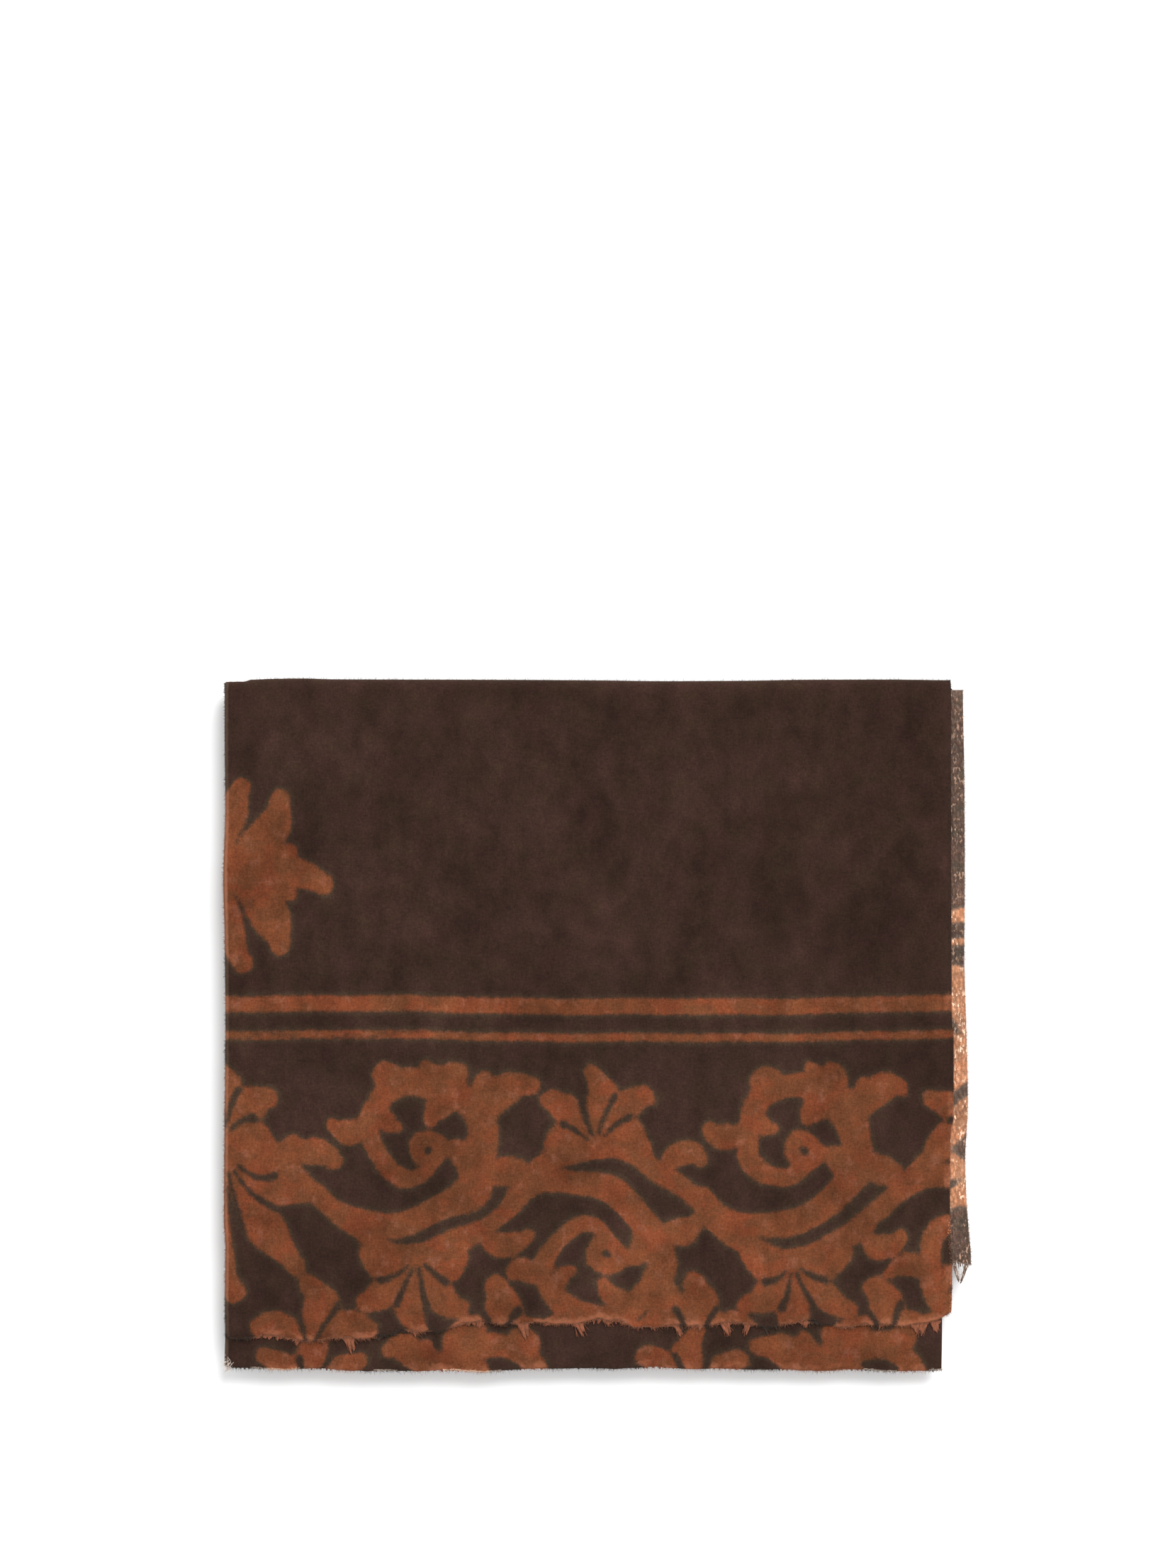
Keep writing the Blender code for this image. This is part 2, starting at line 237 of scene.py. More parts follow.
Crease = namedtuple("Crease", "start stop half rise")
CREASE_IN = (-0.25, 0.2)
CREASE_OUT = (0.8, 1.25)
CREASES = [
    Crease((-0.168, 0.150), (-0.164, -0.120), 0.0050, 0.00022),
    Crease((-0.160, -0.128), (-0.096, -0.146), 0.0040, 0.00040),
    Crease((-0.120, -0.112), (-0.070, -0.140), 0.0045, -0.00030),
    Crease((-0.050, -0.128), (-0.030, -0.143), 0.0035, 0.00045),
    Crease((0.028, -0.126), (0.044, -0.145), 0.0040, 0.00045),
    Crease((0.085, -0.130), (0.078, -0.144), 0.0030, -0.00035),
    Crease((0.120, -0.118), (0.158, -0.138), 0.0045, 0.00040),
    Crease((0.156, 0.120), (0.160, 0.010), 0.0045, -0.00030),
    Crease((0.163, -0.020), (0.158, -0.110), 0.0040, 0.00030),
    Crease((-0.150, 0.153), (-0.050, 0.150), 0.0045, 0.00025),
    Crease((0.020, 0.149), (0.150, 0.153), 0.0050, -0.00025),
    Crease((-0.010, 0.060), (0.060, -0.030), 0.0120, 0.00028),
    Crease((-0.110, 0.020), (-0.060, -0.080), 0.0110, -0.00028),
    Crease((0.070, 0.100), (0.120, 0.020), 0.0130, 0.00025),
]


def crease_rise(x, y):
    """How far the soft creases and hollows lift the cloth."""
    total = 0.0 * x * y
    for crease in CREASES:
        run = np.array(crease.stop) - np.array(crease.start)
        along_x, along_y = x - crease.start[0], y - crease.start[1]
        t = (along_x * run[0] + along_y * run[1]) / (run @ run)
        aside = (along_x * run[1] - along_y * run[0]) / math.sqrt(run @ run)
        fade = smooth(*CREASE_IN, t) * (1 - smooth(*CREASE_OUT, t))
        total = total + crease.rise * fade * np.exp(-((aside / crease.half) ** 2))
    return total


def droop(y):
    """How far a ply that reaches beyond the core droops at its front."""
    return FRONT_DROOP * (np.maximum(DROOP_START - y, 0.0) / (DROOP_START - FRONT_EDGE)) ** 2


def fallen(over_end, under_end, x):
    """How far a ply's raw end falls where the ply below it ends further back."""
    ahead = np.maximum(along(under_end, x) - along(over_end, x), 0.0)
    return PITCH * np.minimum(ahead / FALL_RUN, 1.0) * np.sqrt(np.maximum(x - FOLD_X, 0.0) / FACE_WIDTH)


def dipped(fall, from_end):
    """How far the last millimetres of ply A's raw end dip towards ply C."""
    return END_DIP * (2 * PITCH - PLY - fall) * (1 - smooth(0.0, DIP_RUN, from_end))


def settled(x, y, z):
    """Points of the parcel after its plies have settled under their own weight."""
    tilt = 1 - OPEN_SIDE_DROP * smooth(0.0, OPEN_SIDE_RUN, x)
    tilt = tilt - FRONT_DROP * smooth(-FRONT_DROP_FROM, -FRONT_DROP_TO, -y)
    tilt = tilt - EDGE_DROOP * (np.maximum(x - EDGE_DROOP_FROM, 0.0) / EDGE_DROOP_RUN) ** 2
    swell = SWELL * np.sin(x / SWELL_RUNS[0] + 0.6) * np.cos(y / SWELL_RUNS[1])
    share = np.clip(z / CLOTH_TOP, 0.0, 1.1) ** 2
    return x, y, z * (tilt + swell + RIPPLE * ripple(x, y)) + share * crease_rise(x, y)


# The flat print: a distance to the edge of the rust shapes
BLEND = 0.0024
FAR = 0.02
NEAR = 0.012


class Print:
    """Points on the flat cloth, and the shapes that grow together on them."""

    def __init__(self, across, down):
        self.points = np.column_stack([np.ravel(across), np.ravel(down)])
        self.edge = np.full(len(self.points), FAR)

    def near(self, low, high):
        """Which points lie in or near a box."""
        inside = (self.points > low - NEAR) & (self.points < high + NEAR)
        return np.flatnonzero(inside.all(axis=1))

    def join(self, at, shape):
        """Adds a shape, whose corners with what is there are filled softly."""
        before = self.edge[at]
        close = np.maximum(BLEND - np.abs(before - shape), 0.0) / BLEND
        self.edge[at] = np.minimum(before, shape) - close**2 * BLEND / 4

    def along_line(self, line, radii):
        """The points near a thick line, and their distances to its edge."""
        at = self.near(line.min(axis=0) - radii.max(), line.max(axis=0) + radii.max())
        here = self.points[at]
        best = np.full(len(at), np.inf)
        for i in range(len(line) - 1):
            run = line[i + 1] - line[i]
            t = np.clip((here - line[i]) @ run / max(run @ run, 1e-12), 0.0, 1.0)
            off = here - line[i] - t[:, None] * run
            distance = np.hypot(off[:, 0], off[:, 1]) - radii[i] - t * (radii[i + 1] - radii[i])
            best = np.minimum(best, distance)
        return at, best

    def stroke(self, line, radii):
        """A stroke along a line of points, as thick as its radii."""
        self.join(*self.along_line(np.asarray(line), np.asarray(radii)))

    def cut(self, line, radii):
        """A dark cut along a line of points, as thick as its radii."""
        at, shape = self.along_line(np.asarray(line), np.asarray(radii))
        self.edge[at] = np.maximum(self.edge[at], -shape)

    def disc(self, centre, radius):
        self.stroke([centre, centre], [radius, radius])


def turned(angle):
    return np.array([math.cos(angle), math.sin(angle)])


def arc_line(start, angle, length, bend, steps=12):
    """Points along a line that starts at an angle and bends more and more."""
    points = [np.array(start, float)]
    for i in range(steps):
        turn = bend * ((i + 0.5) / steps) ** 1.7
        points.append(points[-1] + turned(angle + turn) * length / steps)
    return np.array(points)


# The scroll band lies between the stripes and the raw end
BAND_TOP = -0.0095
TOP_GAP = 0.0030

# How full a lobe is at its root and tip, and where a leaf's shorter lobe grows and how
LOBE_ROOT = 0.28
LOBE_TIP_LOSS = 0.40
LOBE_FULL = (0.60, 0.62)
CUSP_PLACE = 0.30
CUSP_LEAN = 0.95
CUSP_LENGTH = 0.44
CUSP_WIDTH = 0.74
CUSP_BEND = 0.7


def lobe(drawn, start, angle, length, width, bend):
    """One rounded lobe, narrow at its root and full near its tip, that stays inside its band."""
    rise = math.sin(angle + bend / 2)
    if start[1] < BAND_TOP and rise > 0.2:
        room = BAND_TOP - TOP_GAP - start[1] - width / 2
        length = min(length, max(room / rise, width * 0.5))
    line = arc_line(start, angle, length, bend, 10)
    t = np.linspace(0, 1, len(line))
    full = LOBE_ROOT + (1 - LOBE_ROOT) * smooth(0.0, LOBE_FULL[0], t)
    full = full - LOBE_TIP_LOSS * smooth(LOBE_FULL[1], 1.0, t)
    drawn.stroke(line, width / 2 * full)
    return line


def leaf(drawn, start, angle, length, width, bend):
    """A curved leaf: a long lobe with a shorter one on its outer side."""
    line = lobe(drawn, start, angle, length, width, bend)
    way = -math.copysign(1.0, bend)
    i = int(len(line) * CUSP_PLACE)
    ahead = line[i + 1] - line[i]
    aside = math.atan2(ahead[1], ahead[0]) + way * CUSP_LEAN
    lobe(drawn, line[i], aside, length * CUSP_LENGTH, width * CUSP_WIDTH, -way * CUSP_BEND)


# How a curl winds in: turns from its start, its distance from the middle and its half width
Wind = namedtuple("Wind", "turn reach half")
WINDS = [
    Wind(0.00, 0.0560, 0.0048),
    Wind(0.08, 0.0430, 0.0058),
    Wind(0.17, 0.0345, 0.0066),
    Wind(0.42, 0.0320, 0.0074),
    Wind(0.67, 0.0300, 0.0062),
    Wind(0.92, 0.0235, 0.0050),
    Wind(1.17, 0.0150, 0.0040),
    Wind(1.36, 0.0060, 0.0036),
]

# The leaves of a curl: where on its turns, how large, their lean away from it, bend and kind
CurlLeaf = namedtuple("CurlLeaf", "turn length width lean bend kind")
INNER_LEAVES = (
    CurlLeaf(0.28, 0.0250, 0.0125, 0.40, 1.9, lobe),
    CurlLeaf(0.52, 0.0200, 0.0115, 0.45, 1.9, lobe),
    CurlLeaf(0.78, 0.0140, 0.0090, 0.50, 1.9, lobe),
)
OUTER_LEAVES = (
    CurlLeaf(0.330, 0.0240, 0.0135, 0.42, 1.7, lobe),
    CurlLeaf(0.440, 0.0320, 0.0155, 0.40, 1.7, leaf),
    CurlLeaf(0.570, 0.0280, 0.0150, 0.42, 1.8, leaf),
    CurlLeaf(0.700, 0.0240, 0.0140, 0.45, 1.8, lobe),
    CurlLeaf(0.840, 0.0200, 0.0125, 0.50, 1.8, lobe),
)
CURL_STEPS = 70
CURL_START = math.radians(-150)
SOFTEN = 4
BUD_RADIUS = 0.0100
BUD_EYE = 0.0021


def curl(drawn, centre, up, size, draw):
    """A branch that leaves the vine and winds in to a round bud."""
    turns, reaches, halves = zip(*WINDS)
    t = np.linspace(0, turns[-1], CURL_STEPS)
    reach = np.interp(t, turns, reaches)
    window = np.ones(2 * SOFTEN + 1) / (2 * SOFTEN + 1)
    reach = np.convolve(np.pad(reach, SOFTEN, mode="edge"), window, "valid") * size
    angles = up * (CURL_START + 2 * math.pi * t)
    line = np.column_stack([np.cos(angles), np.sin(angles)]) * reach[:, None] + np.array(centre)
    radii = np.interp(t, turns, halves) * size
    drawn.stroke(line, radii)
    heading = np.gradient(line, axis=0)
    for side, leaves in ((up, INNER_LEAVES), (-up, OUTER_LEAVES)):
        for own in leaves:
            i = int(np.searchsorted(t, own.turn))
            off = np.array([-heading[i][1], heading[i][0]]) / np.hypot(*heading[i])
            angle = math.atan2(heading[i][1], heading[i][0]) + side * own.lean
            root = line[i] + off * side * radii[i] * 0.35
            length = own.length * size * draw.uniform(0.88, 1.12)
            own.kind(drawn, root, angle, length, own.width * size, own.bend * side)
    bud = line[-1] + 0.2 * (np.array(centre) - line[-1])
    drawn.disc(bud, BUD_RADIUS * size)
    drawn.cut([bud, bud], [BUD_EYE, BUD_EYE])


THICK_STRIPE = (0.0065, 0.01415)
THIN_STRIPE = (-0.0066, -0.0027)
VINE_MIDDLE = -0.0840
VINE_SWING = 0.0270
VINE_HALF = 0.0040
VINE_SWELL = 0.0014
HALF_WAVES = [-0.0930, 0.0, 0.0930, 0.1780, 0.2740, 0.3610, 0.4550]
CURL_DROP = 0.0270
LOWER_LINE = -0.1600
LOWER_FANS = ((0.0430, 1.05), (0.1330, 1.0), (0.2270, 1.1), (0.3170, 1.0))

# A fan's lobes: their lengths from the outermost to the middle one, and the disc at its root
Fan = namedtuple("Fan", "lengths width spread bend base")
MIDDLE_FAN = Fan((0.034, 0.048, 0.062, 0.068), 0.0160, 1.35, 1.2, 0.0100)
CREST_FAN = Fan((0.0240, 0.0330, 0.0370), 0.0155, 1.15, 1.4, 0.0070)
LOWER_FAN = Fan((0.0300, 0.0360), 0.0175, 0.55, 1.6, 0.0110)
FAN_CUTS = (0.0008, 0.0020)


def fan(drawn, root, up, form, size=1.0):
    """A fan of lobes round a middle one, with dark cuts between them."""
    lengths, width, spread, bend, base = form
    lengths = np.array(lengths) * size
    steps = len(lengths) - 1
    for k, length in enumerate(lengths):
        off = 1 - k / steps
        for side in (-1, 1) if k < steps else (1,):
            angle = up * math.pi / 2 - up * side * off * spread
            hook = -up * side * off * bend if off else 0.9
            lobe(drawn, root, angle - (0.0 if off else 0.25), length, width, hook)
    drawn.disc(root, base)
    for k in range(steps):
        off = 1 - (k + 0.5) / steps
        for side in (-1, 1):
            angle = up * math.pi / 2 - up * side * off * spread
            start = np.array(root) + turned(angle) * base * 0.8
            line = arc_line(start, angle, lengths[k] * 0.55, -up * side * off * bend * 0.5, 6)
            drawn.cut(line, np.linspace(*FAN_CUTS, len(line)))


def vine_height(x):
    """The vine swings from one crest or trough to the next, which lie unevenly."""
    phase = np.interp(x, HALF_WAVES, math.pi * (np.arange(len(HALF_WAVES)) - 1))
    return VINE_MIDDLE + VINE_SWING * np.cos(phase)


def scroll_band(drawn):
    """The vine and all that grows on it, from the cloth's middle line outwards."""
    draw = np.random.default_rng(7)
    crests = [(x, 1 if k % 2 else -1) for k, x in enumerate(HALF_WAVES)]
    x = np.linspace(-0.04, 0.44, 121)
    swell = VINE_HALF + VINE_SWELL * np.abs(vine_height(x) - VINE_MIDDLE) / VINE_SWING
    drawn.stroke(np.column_stack([x, vine_height(x)]), swell)
    for x, crest in crests:
        if x == 0:
            fan(drawn, (0.0, -0.0640), -1, MIDDLE_FAN)
        else:
            centre = (x, VINE_MIDDLE - crest * CURL_DROP)
            curl(drawn, centre, -crest, 1 + 0.04 * draw.uniform(-1, 1), draw)
        size = draw.uniform(0.94, 1.05)
        root = (x + 0.003 * draw.uniform(-1, 1), VINE_MIDDLE + crest * (VINE_SWING + 0.0015))
        fan(drawn, root, crest, CREST_FAN, size)
        root = (x + 0.030, float(vine_height(x + 0.030)))
        way = crest * (math.pi / 2 - 0.65)
        lobe(drawn, root, way, length=0.0250, width=0.0135, bend=crest * -1.9)
    for x, size in LOWER_FANS:
        fan(drawn, (x, LOWER_LINE), 1, LOWER_FAN, size)


def fold_sprig(drawn):
    """A star of lobes on the cloth's middle line, half of it beyond the fold."""
    middle = (0.0, 0.0735)
    for side in (-1, 1):
        lobe(drawn, middle, side * 1.60, length=0.043, width=0.0150, bend=side * -0.60)
        leaf(drawn, middle, side * 0.66, length=0.046, width=0.0175, bend=side * 0.70)
    lobe(drawn, middle, 0.10, length=0.048, width=0.0165, bend=-0.5)
    drawn.disc(middle, 0.0125)


def strayed(across, down):
    """The print's lines stray softly, so that no shape repeats exactly."""
    aside = 0.0016 * np.sin(down / 0.0105 + 0.9) * np.sin(across / 0.023 + 1.7)
    aside = (aside + 0.0012 * np.sin(down / 0.0059 + across / 0.019)) * smooth(0.0, 0.02, across)
    lift = 0.0015 * np.sin(across / 0.0098 + 0.4) * np.sin(down / 0.017 + 0.6)
    lift = lift + 0.0011 * np.sin(across / 0.0061 - down / 0.021 + 2.0)
    return across + aside, down + lift


def stripes(drawn):
    """The two stripes above the scroll band."""
    down = drawn.points[:, 1]
    for low, high in (THICK_STRIPE, THIN_STRIPE):
        inside = np.abs(down - (low + high) / 2) - (high - low) / 2
        drawn.edge = np.minimum(drawn.edge, inside)


def end_print(across, down):
    """The print of the scarf's end, as the distance to the shapes' edge in mm, below 0 inside."""
    soft_across, soft_down = strayed(across, down)
    drawn = Print(soft_across, soft_down)
    scroll_band(drawn)
    plain = np.ravel(down)
    drawn.edge = np.maximum(drawn.edge, plain - BAND_TOP)
    fold_sprig(drawn)
    drawn.points = np.column_stack([np.ravel(across), plain])
    stripes(drawn)
    return np.reshape(1000 * drawn.edge, np.shape(across))


# Meshes from grids of points
def add_mesh(name, points, faces, face_materials, materials, attributes):
    """An object from points and faces, with materials and float attributes on its points."""
    mesh = bpy.data.meshes.new(name)
    mesh.from_pydata(points.tolist(), [], faces)
    for material in materials:
        mesh.materials.append(material)
    if face_materials is not None:
        mesh.polygons.foreach_set("material_index", np.asarray(face_materials, np.int32))
    for key, values in attributes.items():
        layer = mesh.attributes.new(key, "FLOAT", "POINT")
        layer.data.foreach_set("value", np.asarray(values, np.float32).ravel())
    mesh.validate()
    mesh.shade_smooth()
    made = bpy.data.objects.new(name, mesh)
    bpy.context.scene.collection.objects.link(made)
    return made


def grid_faces(rows, columns, first, flip=False):
    """Quads of a grid whose points are numbered row by row from the first."""
    made = []
    for i in range(rows - 1):
        a = first + i * columns
        b = a + columns
        for j in range(columns - 1):
            quad = (a + j, a + j + 1, b + j + 1, b + j)
            made.append(quad[::-1] if flip else quad)
    return made


def zipped(one, two, one_path, two_path, flip=False):
    """Triangles between two lines of points that run side by side."""
    made = []
    i = j = 0
    while i < len(one) - 1 or j < len(two) - 1:
        ahead = j == len(two) - 1 or (i < len(one) - 1 and one_path[i + 1] <= two_path[j + 1])
        if ahead:
            made.append((one[i], one[i + 1], two[j]))
            i += 1
        else:
            made.append((one[i], two[j + 1], two[j]))
            j += 1
    return [face[::-1] for face in made] if flip else made


# A leaf's section: columns of points round the lengthwise fold, outside and inside
Column = namedtuple("Column", "upper share inset height mid_inset mid_height path")


def flat_columns(upper, shares, height, mid_height, path_of):
    return [
        Column(upper, share, FOLD_RADIUS, height, FOLD_RADIUS, mid_height, path_of(share))
        for share in shares
    ]


def fold_columns(steps, radius, middle):
    made = []
    mid_radius = (FOLD_RADIUS + INNER_RADIUS) / 2
    for k in range(steps + 1):
        angle = math.pi * k / steps
        aside, up = math.sin(angle), math.cos(angle)
        inset = FOLD_RADIUS - radius * aside
        mid_inset = FOLD_RADIUS - mid_radius * aside
        height = middle + radius * up
        mid_height = middle + mid_radius * up
        made.append(Column(k <= steps / 2, 0.0, inset, height, mid_inset, mid_height, 1 + k / steps))
    return made


Shares = namedtuple("Shares", "over_outer over_inner under_outer under_inner")
# A leaf: its top ply, fold and selvedges, the solids' ends, its back pull, raw ends and columns
Leaf = namedtuple("Leaf", "name top_ply fold over under over_end under_end over_pull raw shares")


def sections(item):
    """The outer and the inner columns of a leaf."""
    top = item.top_ply * PITCH + PLY - TURN_HEIGHT
    middle = top - PLY - AIR / 2
    over_mid, under_mid = top - PLY / 2, top - PLY - AIR - PLY / 2
    shares = item.shares

    def over_path(share):
        return 1 - share

    def under_path(share):
        return 2 + share

    outer = flat_columns(True, shares.over_outer[::-1], top, over_mid, over_path)
    outer += fold_columns(10, FOLD_RADIUS, middle)
    outer += flat_columns(False, shares.under_outer, top - 2 * PLY - AIR, under_mid, under_path)
    inner = flat_columns(True, shares.over_inner[::-1], top - PLY, over_mid, over_path)
    inner += fold_columns(4, INNER_RADIUS, middle)
    inner += flat_columns(False, shares.under_inner, top - PLY - AIR, under_mid, under_path)
    return outer, inner


Row = namedtuple("Row", "flat thick angle tail")


def leaf_rows(flats, turn_steps):
    """The rows of a leaf: along the panel from the raw end, round the back turn, and the tail."""
    rows = [Row(0.0, 0.30, 0.0, 0.0), Row(0.0006, 0.75, 0.0, 0.0), Row(0.0016, 0.96, 0.0, 0.0)]
    rows += [Row(flat, 1.0, 0.0, 0.0) for flat in flats]
    rows += [Row(1.0, 1.0, math.pi * (k + 1) / turn_steps, 0.0) for k in range(turn_steps)]
    rows.append(Row(1.0, 0.9, math.pi, 1.0))
    return rows


def ragged(x, phase, size):
    """The uneven line of a raw end: small matted scallops."""
    long = np.sin(x / 0.0052 + phase) + 0.8 * np.sin(x / 0.0083 + 2.1 * phase)
    short = 0.5 * np.sin(x / 0.0021 + 3 * phase) + 0.35 * np.sin(x / 0.0013 + phase)
    return size * (long + short * (0.6 + 0.4 * np.sin(x / 0.017 + phase)))


# A leaf's raw ends: their lines, how ragged, how much the rim lifts, and if it dips at the last
Raw = namedtuple("Raw", "over under phase rag lift dips")

# Near the lengthwise fold the raw ends of both plies run together and are less ragged. On the
# flat plies the distance to the fold line counts as a little more than it is
FOLD_EASE = 0.2
FOLD_RAG = 0.35
FOLD_RAG_RUN = 0.02
FOLD_LINE_GAP = 0.002

Surface = namedtuple("Surface", "points out arc upper from_rim from_fold")


def leaf_surface(item, columns, rows):
    """The points of one side of a leaf, and where each lies on the flat cloth."""
    upper, share, inset, height, mid_inset, mid_height, path = (np.array(c) for c in zip(*columns))
    flat, thick, angle, tail = (np.array(c)[:, None] for c in zip(*rows))
    upper = upper.astype(bool)
    front_edge = np.where(upper, item.over[2].x, item.under[0].x)
    guess = FOLD_X + share * (front_edge - FOLD_X)
    over_end = along(item.raw.over, guess)
    apart = along(item.raw.under, guess) - over_end
    under_end = over_end + apart * smooth(0.0, FOLD_EASE, share)
    rag = item.raw.rag * (FOLD_RAG + (1 - FOLD_RAG) * smooth(0.0, FOLD_RAG_RUN, share))
    end = np.where(upper, over_end, under_end) + ragged(guess, item.raw.phase, rag)
    flat_height = mid_height + (height - mid_height) * thick
    flat_inset = mid_inset + (inset - mid_inset) * thick

    def across(y):
        fold = along(item.fold, y) + flat_inset
        selvedge = np.where(upper, along(item.over, y), along(item.under, y))
        return fold + share * (selvedge - fold)

    back = across(np.full((1, len(share)), BACK_LINE))
    pull = np.where(upper, along(item.over_pull, back), along(BACK_PULL, back))
    wave = np.where(upper, along(BACK_WAVE, back), 0.0) if item.over_pull is NO_PULL else 0.0
    start = BACK_LINE - pull + wave
    y_flat = end + (start - end) * flat
    x = across(y_flat)
    ahead = np.maximum(along(item.under_end, x) - along(item.over_end, x), 0.0)
    past = along(item.under_end, x) - y_flat
    fall = fallen(item.over_end, item.under_end, x)
    fall = fall * smooth(FALL_START, FALL_LEAST + FALL_SHARE * ahead, past) * (ahead > FALL_LEAST)
    from_end = y_flat - end
    if item.raw.dips:
        fall = fall + dipped(fall, from_end)
    lumps = 0.5 + 0.5 * np.sin(x / 0.0041 + item.raw.phase) * np.sin(x / 0.0029)
    lumps = lumps + 0.4 * np.sin(x / 0.011)
    lift = item.raw.lift * np.exp(-from_end / LIFT_RUN) * lumps
    z = TURN_HEIGHT + flat_height - np.where(upper, fall, 0.0) + np.where(upper, lift, 0.0)
    z = z - droop(y_flat)
    turning = angle > 0
    z = np.where(turning, TURN_HEIGHT + flat_height * np.cos(angle), z)
    y = np.where(turning, y_flat + flat_height * np.sin(angle), y_flat)
    y = y + tail * (BACK_LINE - along(BACK_PULL, x) - TAIL - y)
    arc = y_flat + np.abs(flat_height) * angle
    out = x - FOLD_X
    from_rim = np.minimum(from_end, (1 - share) * FACE_WIDTH)
    from_fold = np.where(share > 0, FOLD_LINE_GAP + out, np.abs(out))
    points = np.stack(settled(x, y, z), axis=-1)
    return Surface(points, out, arc, np.broadcast_to(upper, x.shape), from_rim, from_fold)


def nap_waver(out, arc):
    """How the cloth's weave strays, so that no printed line is quite straight."""
    return 0.0003 * np.sin(out / 0.021 + 1.0) + 0.0002 * np.sin(out / 0.0083 + arc / 0.03)


# Ply B lies askew and slightly gathered, so its print shows shifted and shortened at the selvedge
GATHER = 1.184
GATHER_ARC = 0.0518
SHIFT = 0.057

# The stripes on ply A bow towards the back, most in their middle
BOW = 0.0017
BOW_MIDDLE = 0.214
BOW_RUN = 0.10


def print_of_leaf_1(out, arc, upper):
    """Ply A shows the print's face, and ply B its reverse, further from the end."""
    bow = BOW * np.exp(-(((out - BOW_MIDDLE) / BOW_RUN) ** 2))
    share = out / FACE_WIDTH
    gathered = sum(THICK_STRIPE) / 2 + GATHER * (arc - GATHER_ARC)
    down = np.where(upper, arc + bow, arc + share * (gathered - arc)) + nap_waver(out, arc)
    return end_print(np.where(upper, out, out - SHIFT * share), down)


# Where the scarf's other end was cut in the print
OTHER_END_ACROSS = 0.404
OTHER_END_DOWN = 0.127


def print_of_leaf_2(out, arc, upper):
    """Ply C shows the scarf's other end, which was cut elsewhere in the print."""
    return end_print(OTHER_END_ACROSS - out, arc + OTHER_END_DOWN + nap_waver(out, arc))


def make_leaf(item, rows, print_of, materials):
    """One leaf as a closed shell: the outer and the inner surface, joined round its rim."""
    outer, inner = sections(item)
    surfaces = [leaf_surface(item, columns, rows) for columns in (outer, inner)]
    prints = [print_of(side.out, side.arc, side.upper) for side in surfaces]
    points = [side.points.reshape(-1, 3) for side in surfaces]
    wide, thin, count = len(outer), len(inner), len(rows)
    base = wide * count
    faces = grid_faces(count, wide, 0)
    sides = [0] * len(faces)
    inside = grid_faces(count, thin, base, flip=True)
    faces += inside
    sides += [1] * len(inside)
    rim = []
    outer_path = [column.path for column in outer]
    inner_path = [column.path for column in inner]
    for row, flip in ((0, True), (count - 1, False)):
        one = [row * wide + j for j in range(wide)]
        two = [base + row * thin + j for j in range(thin)]
        rim += zipped(one, two, outer_path, inner_path, flip)
    for i in range(count - 1):
        a, b = i * wide, (i + 1) * wide
        c, d = base + i * thin, base + (i + 1) * thin
        rim.append((a, b, d, c))
        rim.append((a + wide - 1, c + thin - 1, d + thin - 1, b + wide - 1))
    faces += rim
    sides += [0] * len(rim)
    attributes = {
        "print_edge": np.concatenate([part.ravel() for part in prints]),
        "rim": np.concatenate([1000 * side.from_rim.ravel() for side in surfaces]),
        "fold_line": np.concatenate([1000 * side.from_fold.ravel() for side in surfaces]),
    }
    made = add_mesh(item.name, np.concatenate(points), faces, sides, materials, attributes)
    return made, surfaces, prints


# The eight hidden plies, with rounded edges that lie one over another
CORNER = 0.0030
PLY_GROOVE = 0.0010
SWAY = 0.0005
SWAY_RUN = 0.021
FAR_CORNER_X = 0.168
PLY_STEPS = 6
FRONT_POINTS = 90
RIGHT_POINTS = 190
BACK_POINTS = 60
LEFT_POINTS = 120
CORNER_POINTS = 5
Level = namedtuple("Level", "z ply groove")


def core_levels():
    """Heights with the ply that lies there, and how far its edge is set back."""
    levels = []
    for ply in range(CORE_PLIES):
        bottom = ply * PITCH
        for k in range(PLY_STEPS):
            angle = math.pi * (k + 0.35) / 5.7
            back = PLY_GROOVE * (1 - math.sin(angle) ** 0.7)
            levels.append(Level(bottom + PLY / 2 * (1 - math.cos(angle)), ply, back))
        if ply < CORE_PLIES - 1:
            levels.append(Level(bottom + PLY + AIR / 2, ply, PLY_GROOVE + 0.0002))
    levels[0] = Level(0.0, 0, PLY_GROOVE * 0.6)
    levels[-1] = Level(CORE_PLIES * PITCH - AIR, CORE_PLIES - 1, PLY_GROOVE * 0.4)
    return levels


def round_inset(z, middle, radius):
    """How far a round fold's surface lies behind its outermost line at a height."""
    return radius - math.sqrt(max(radius**2 - (z - middle) ** 2, 0.0))


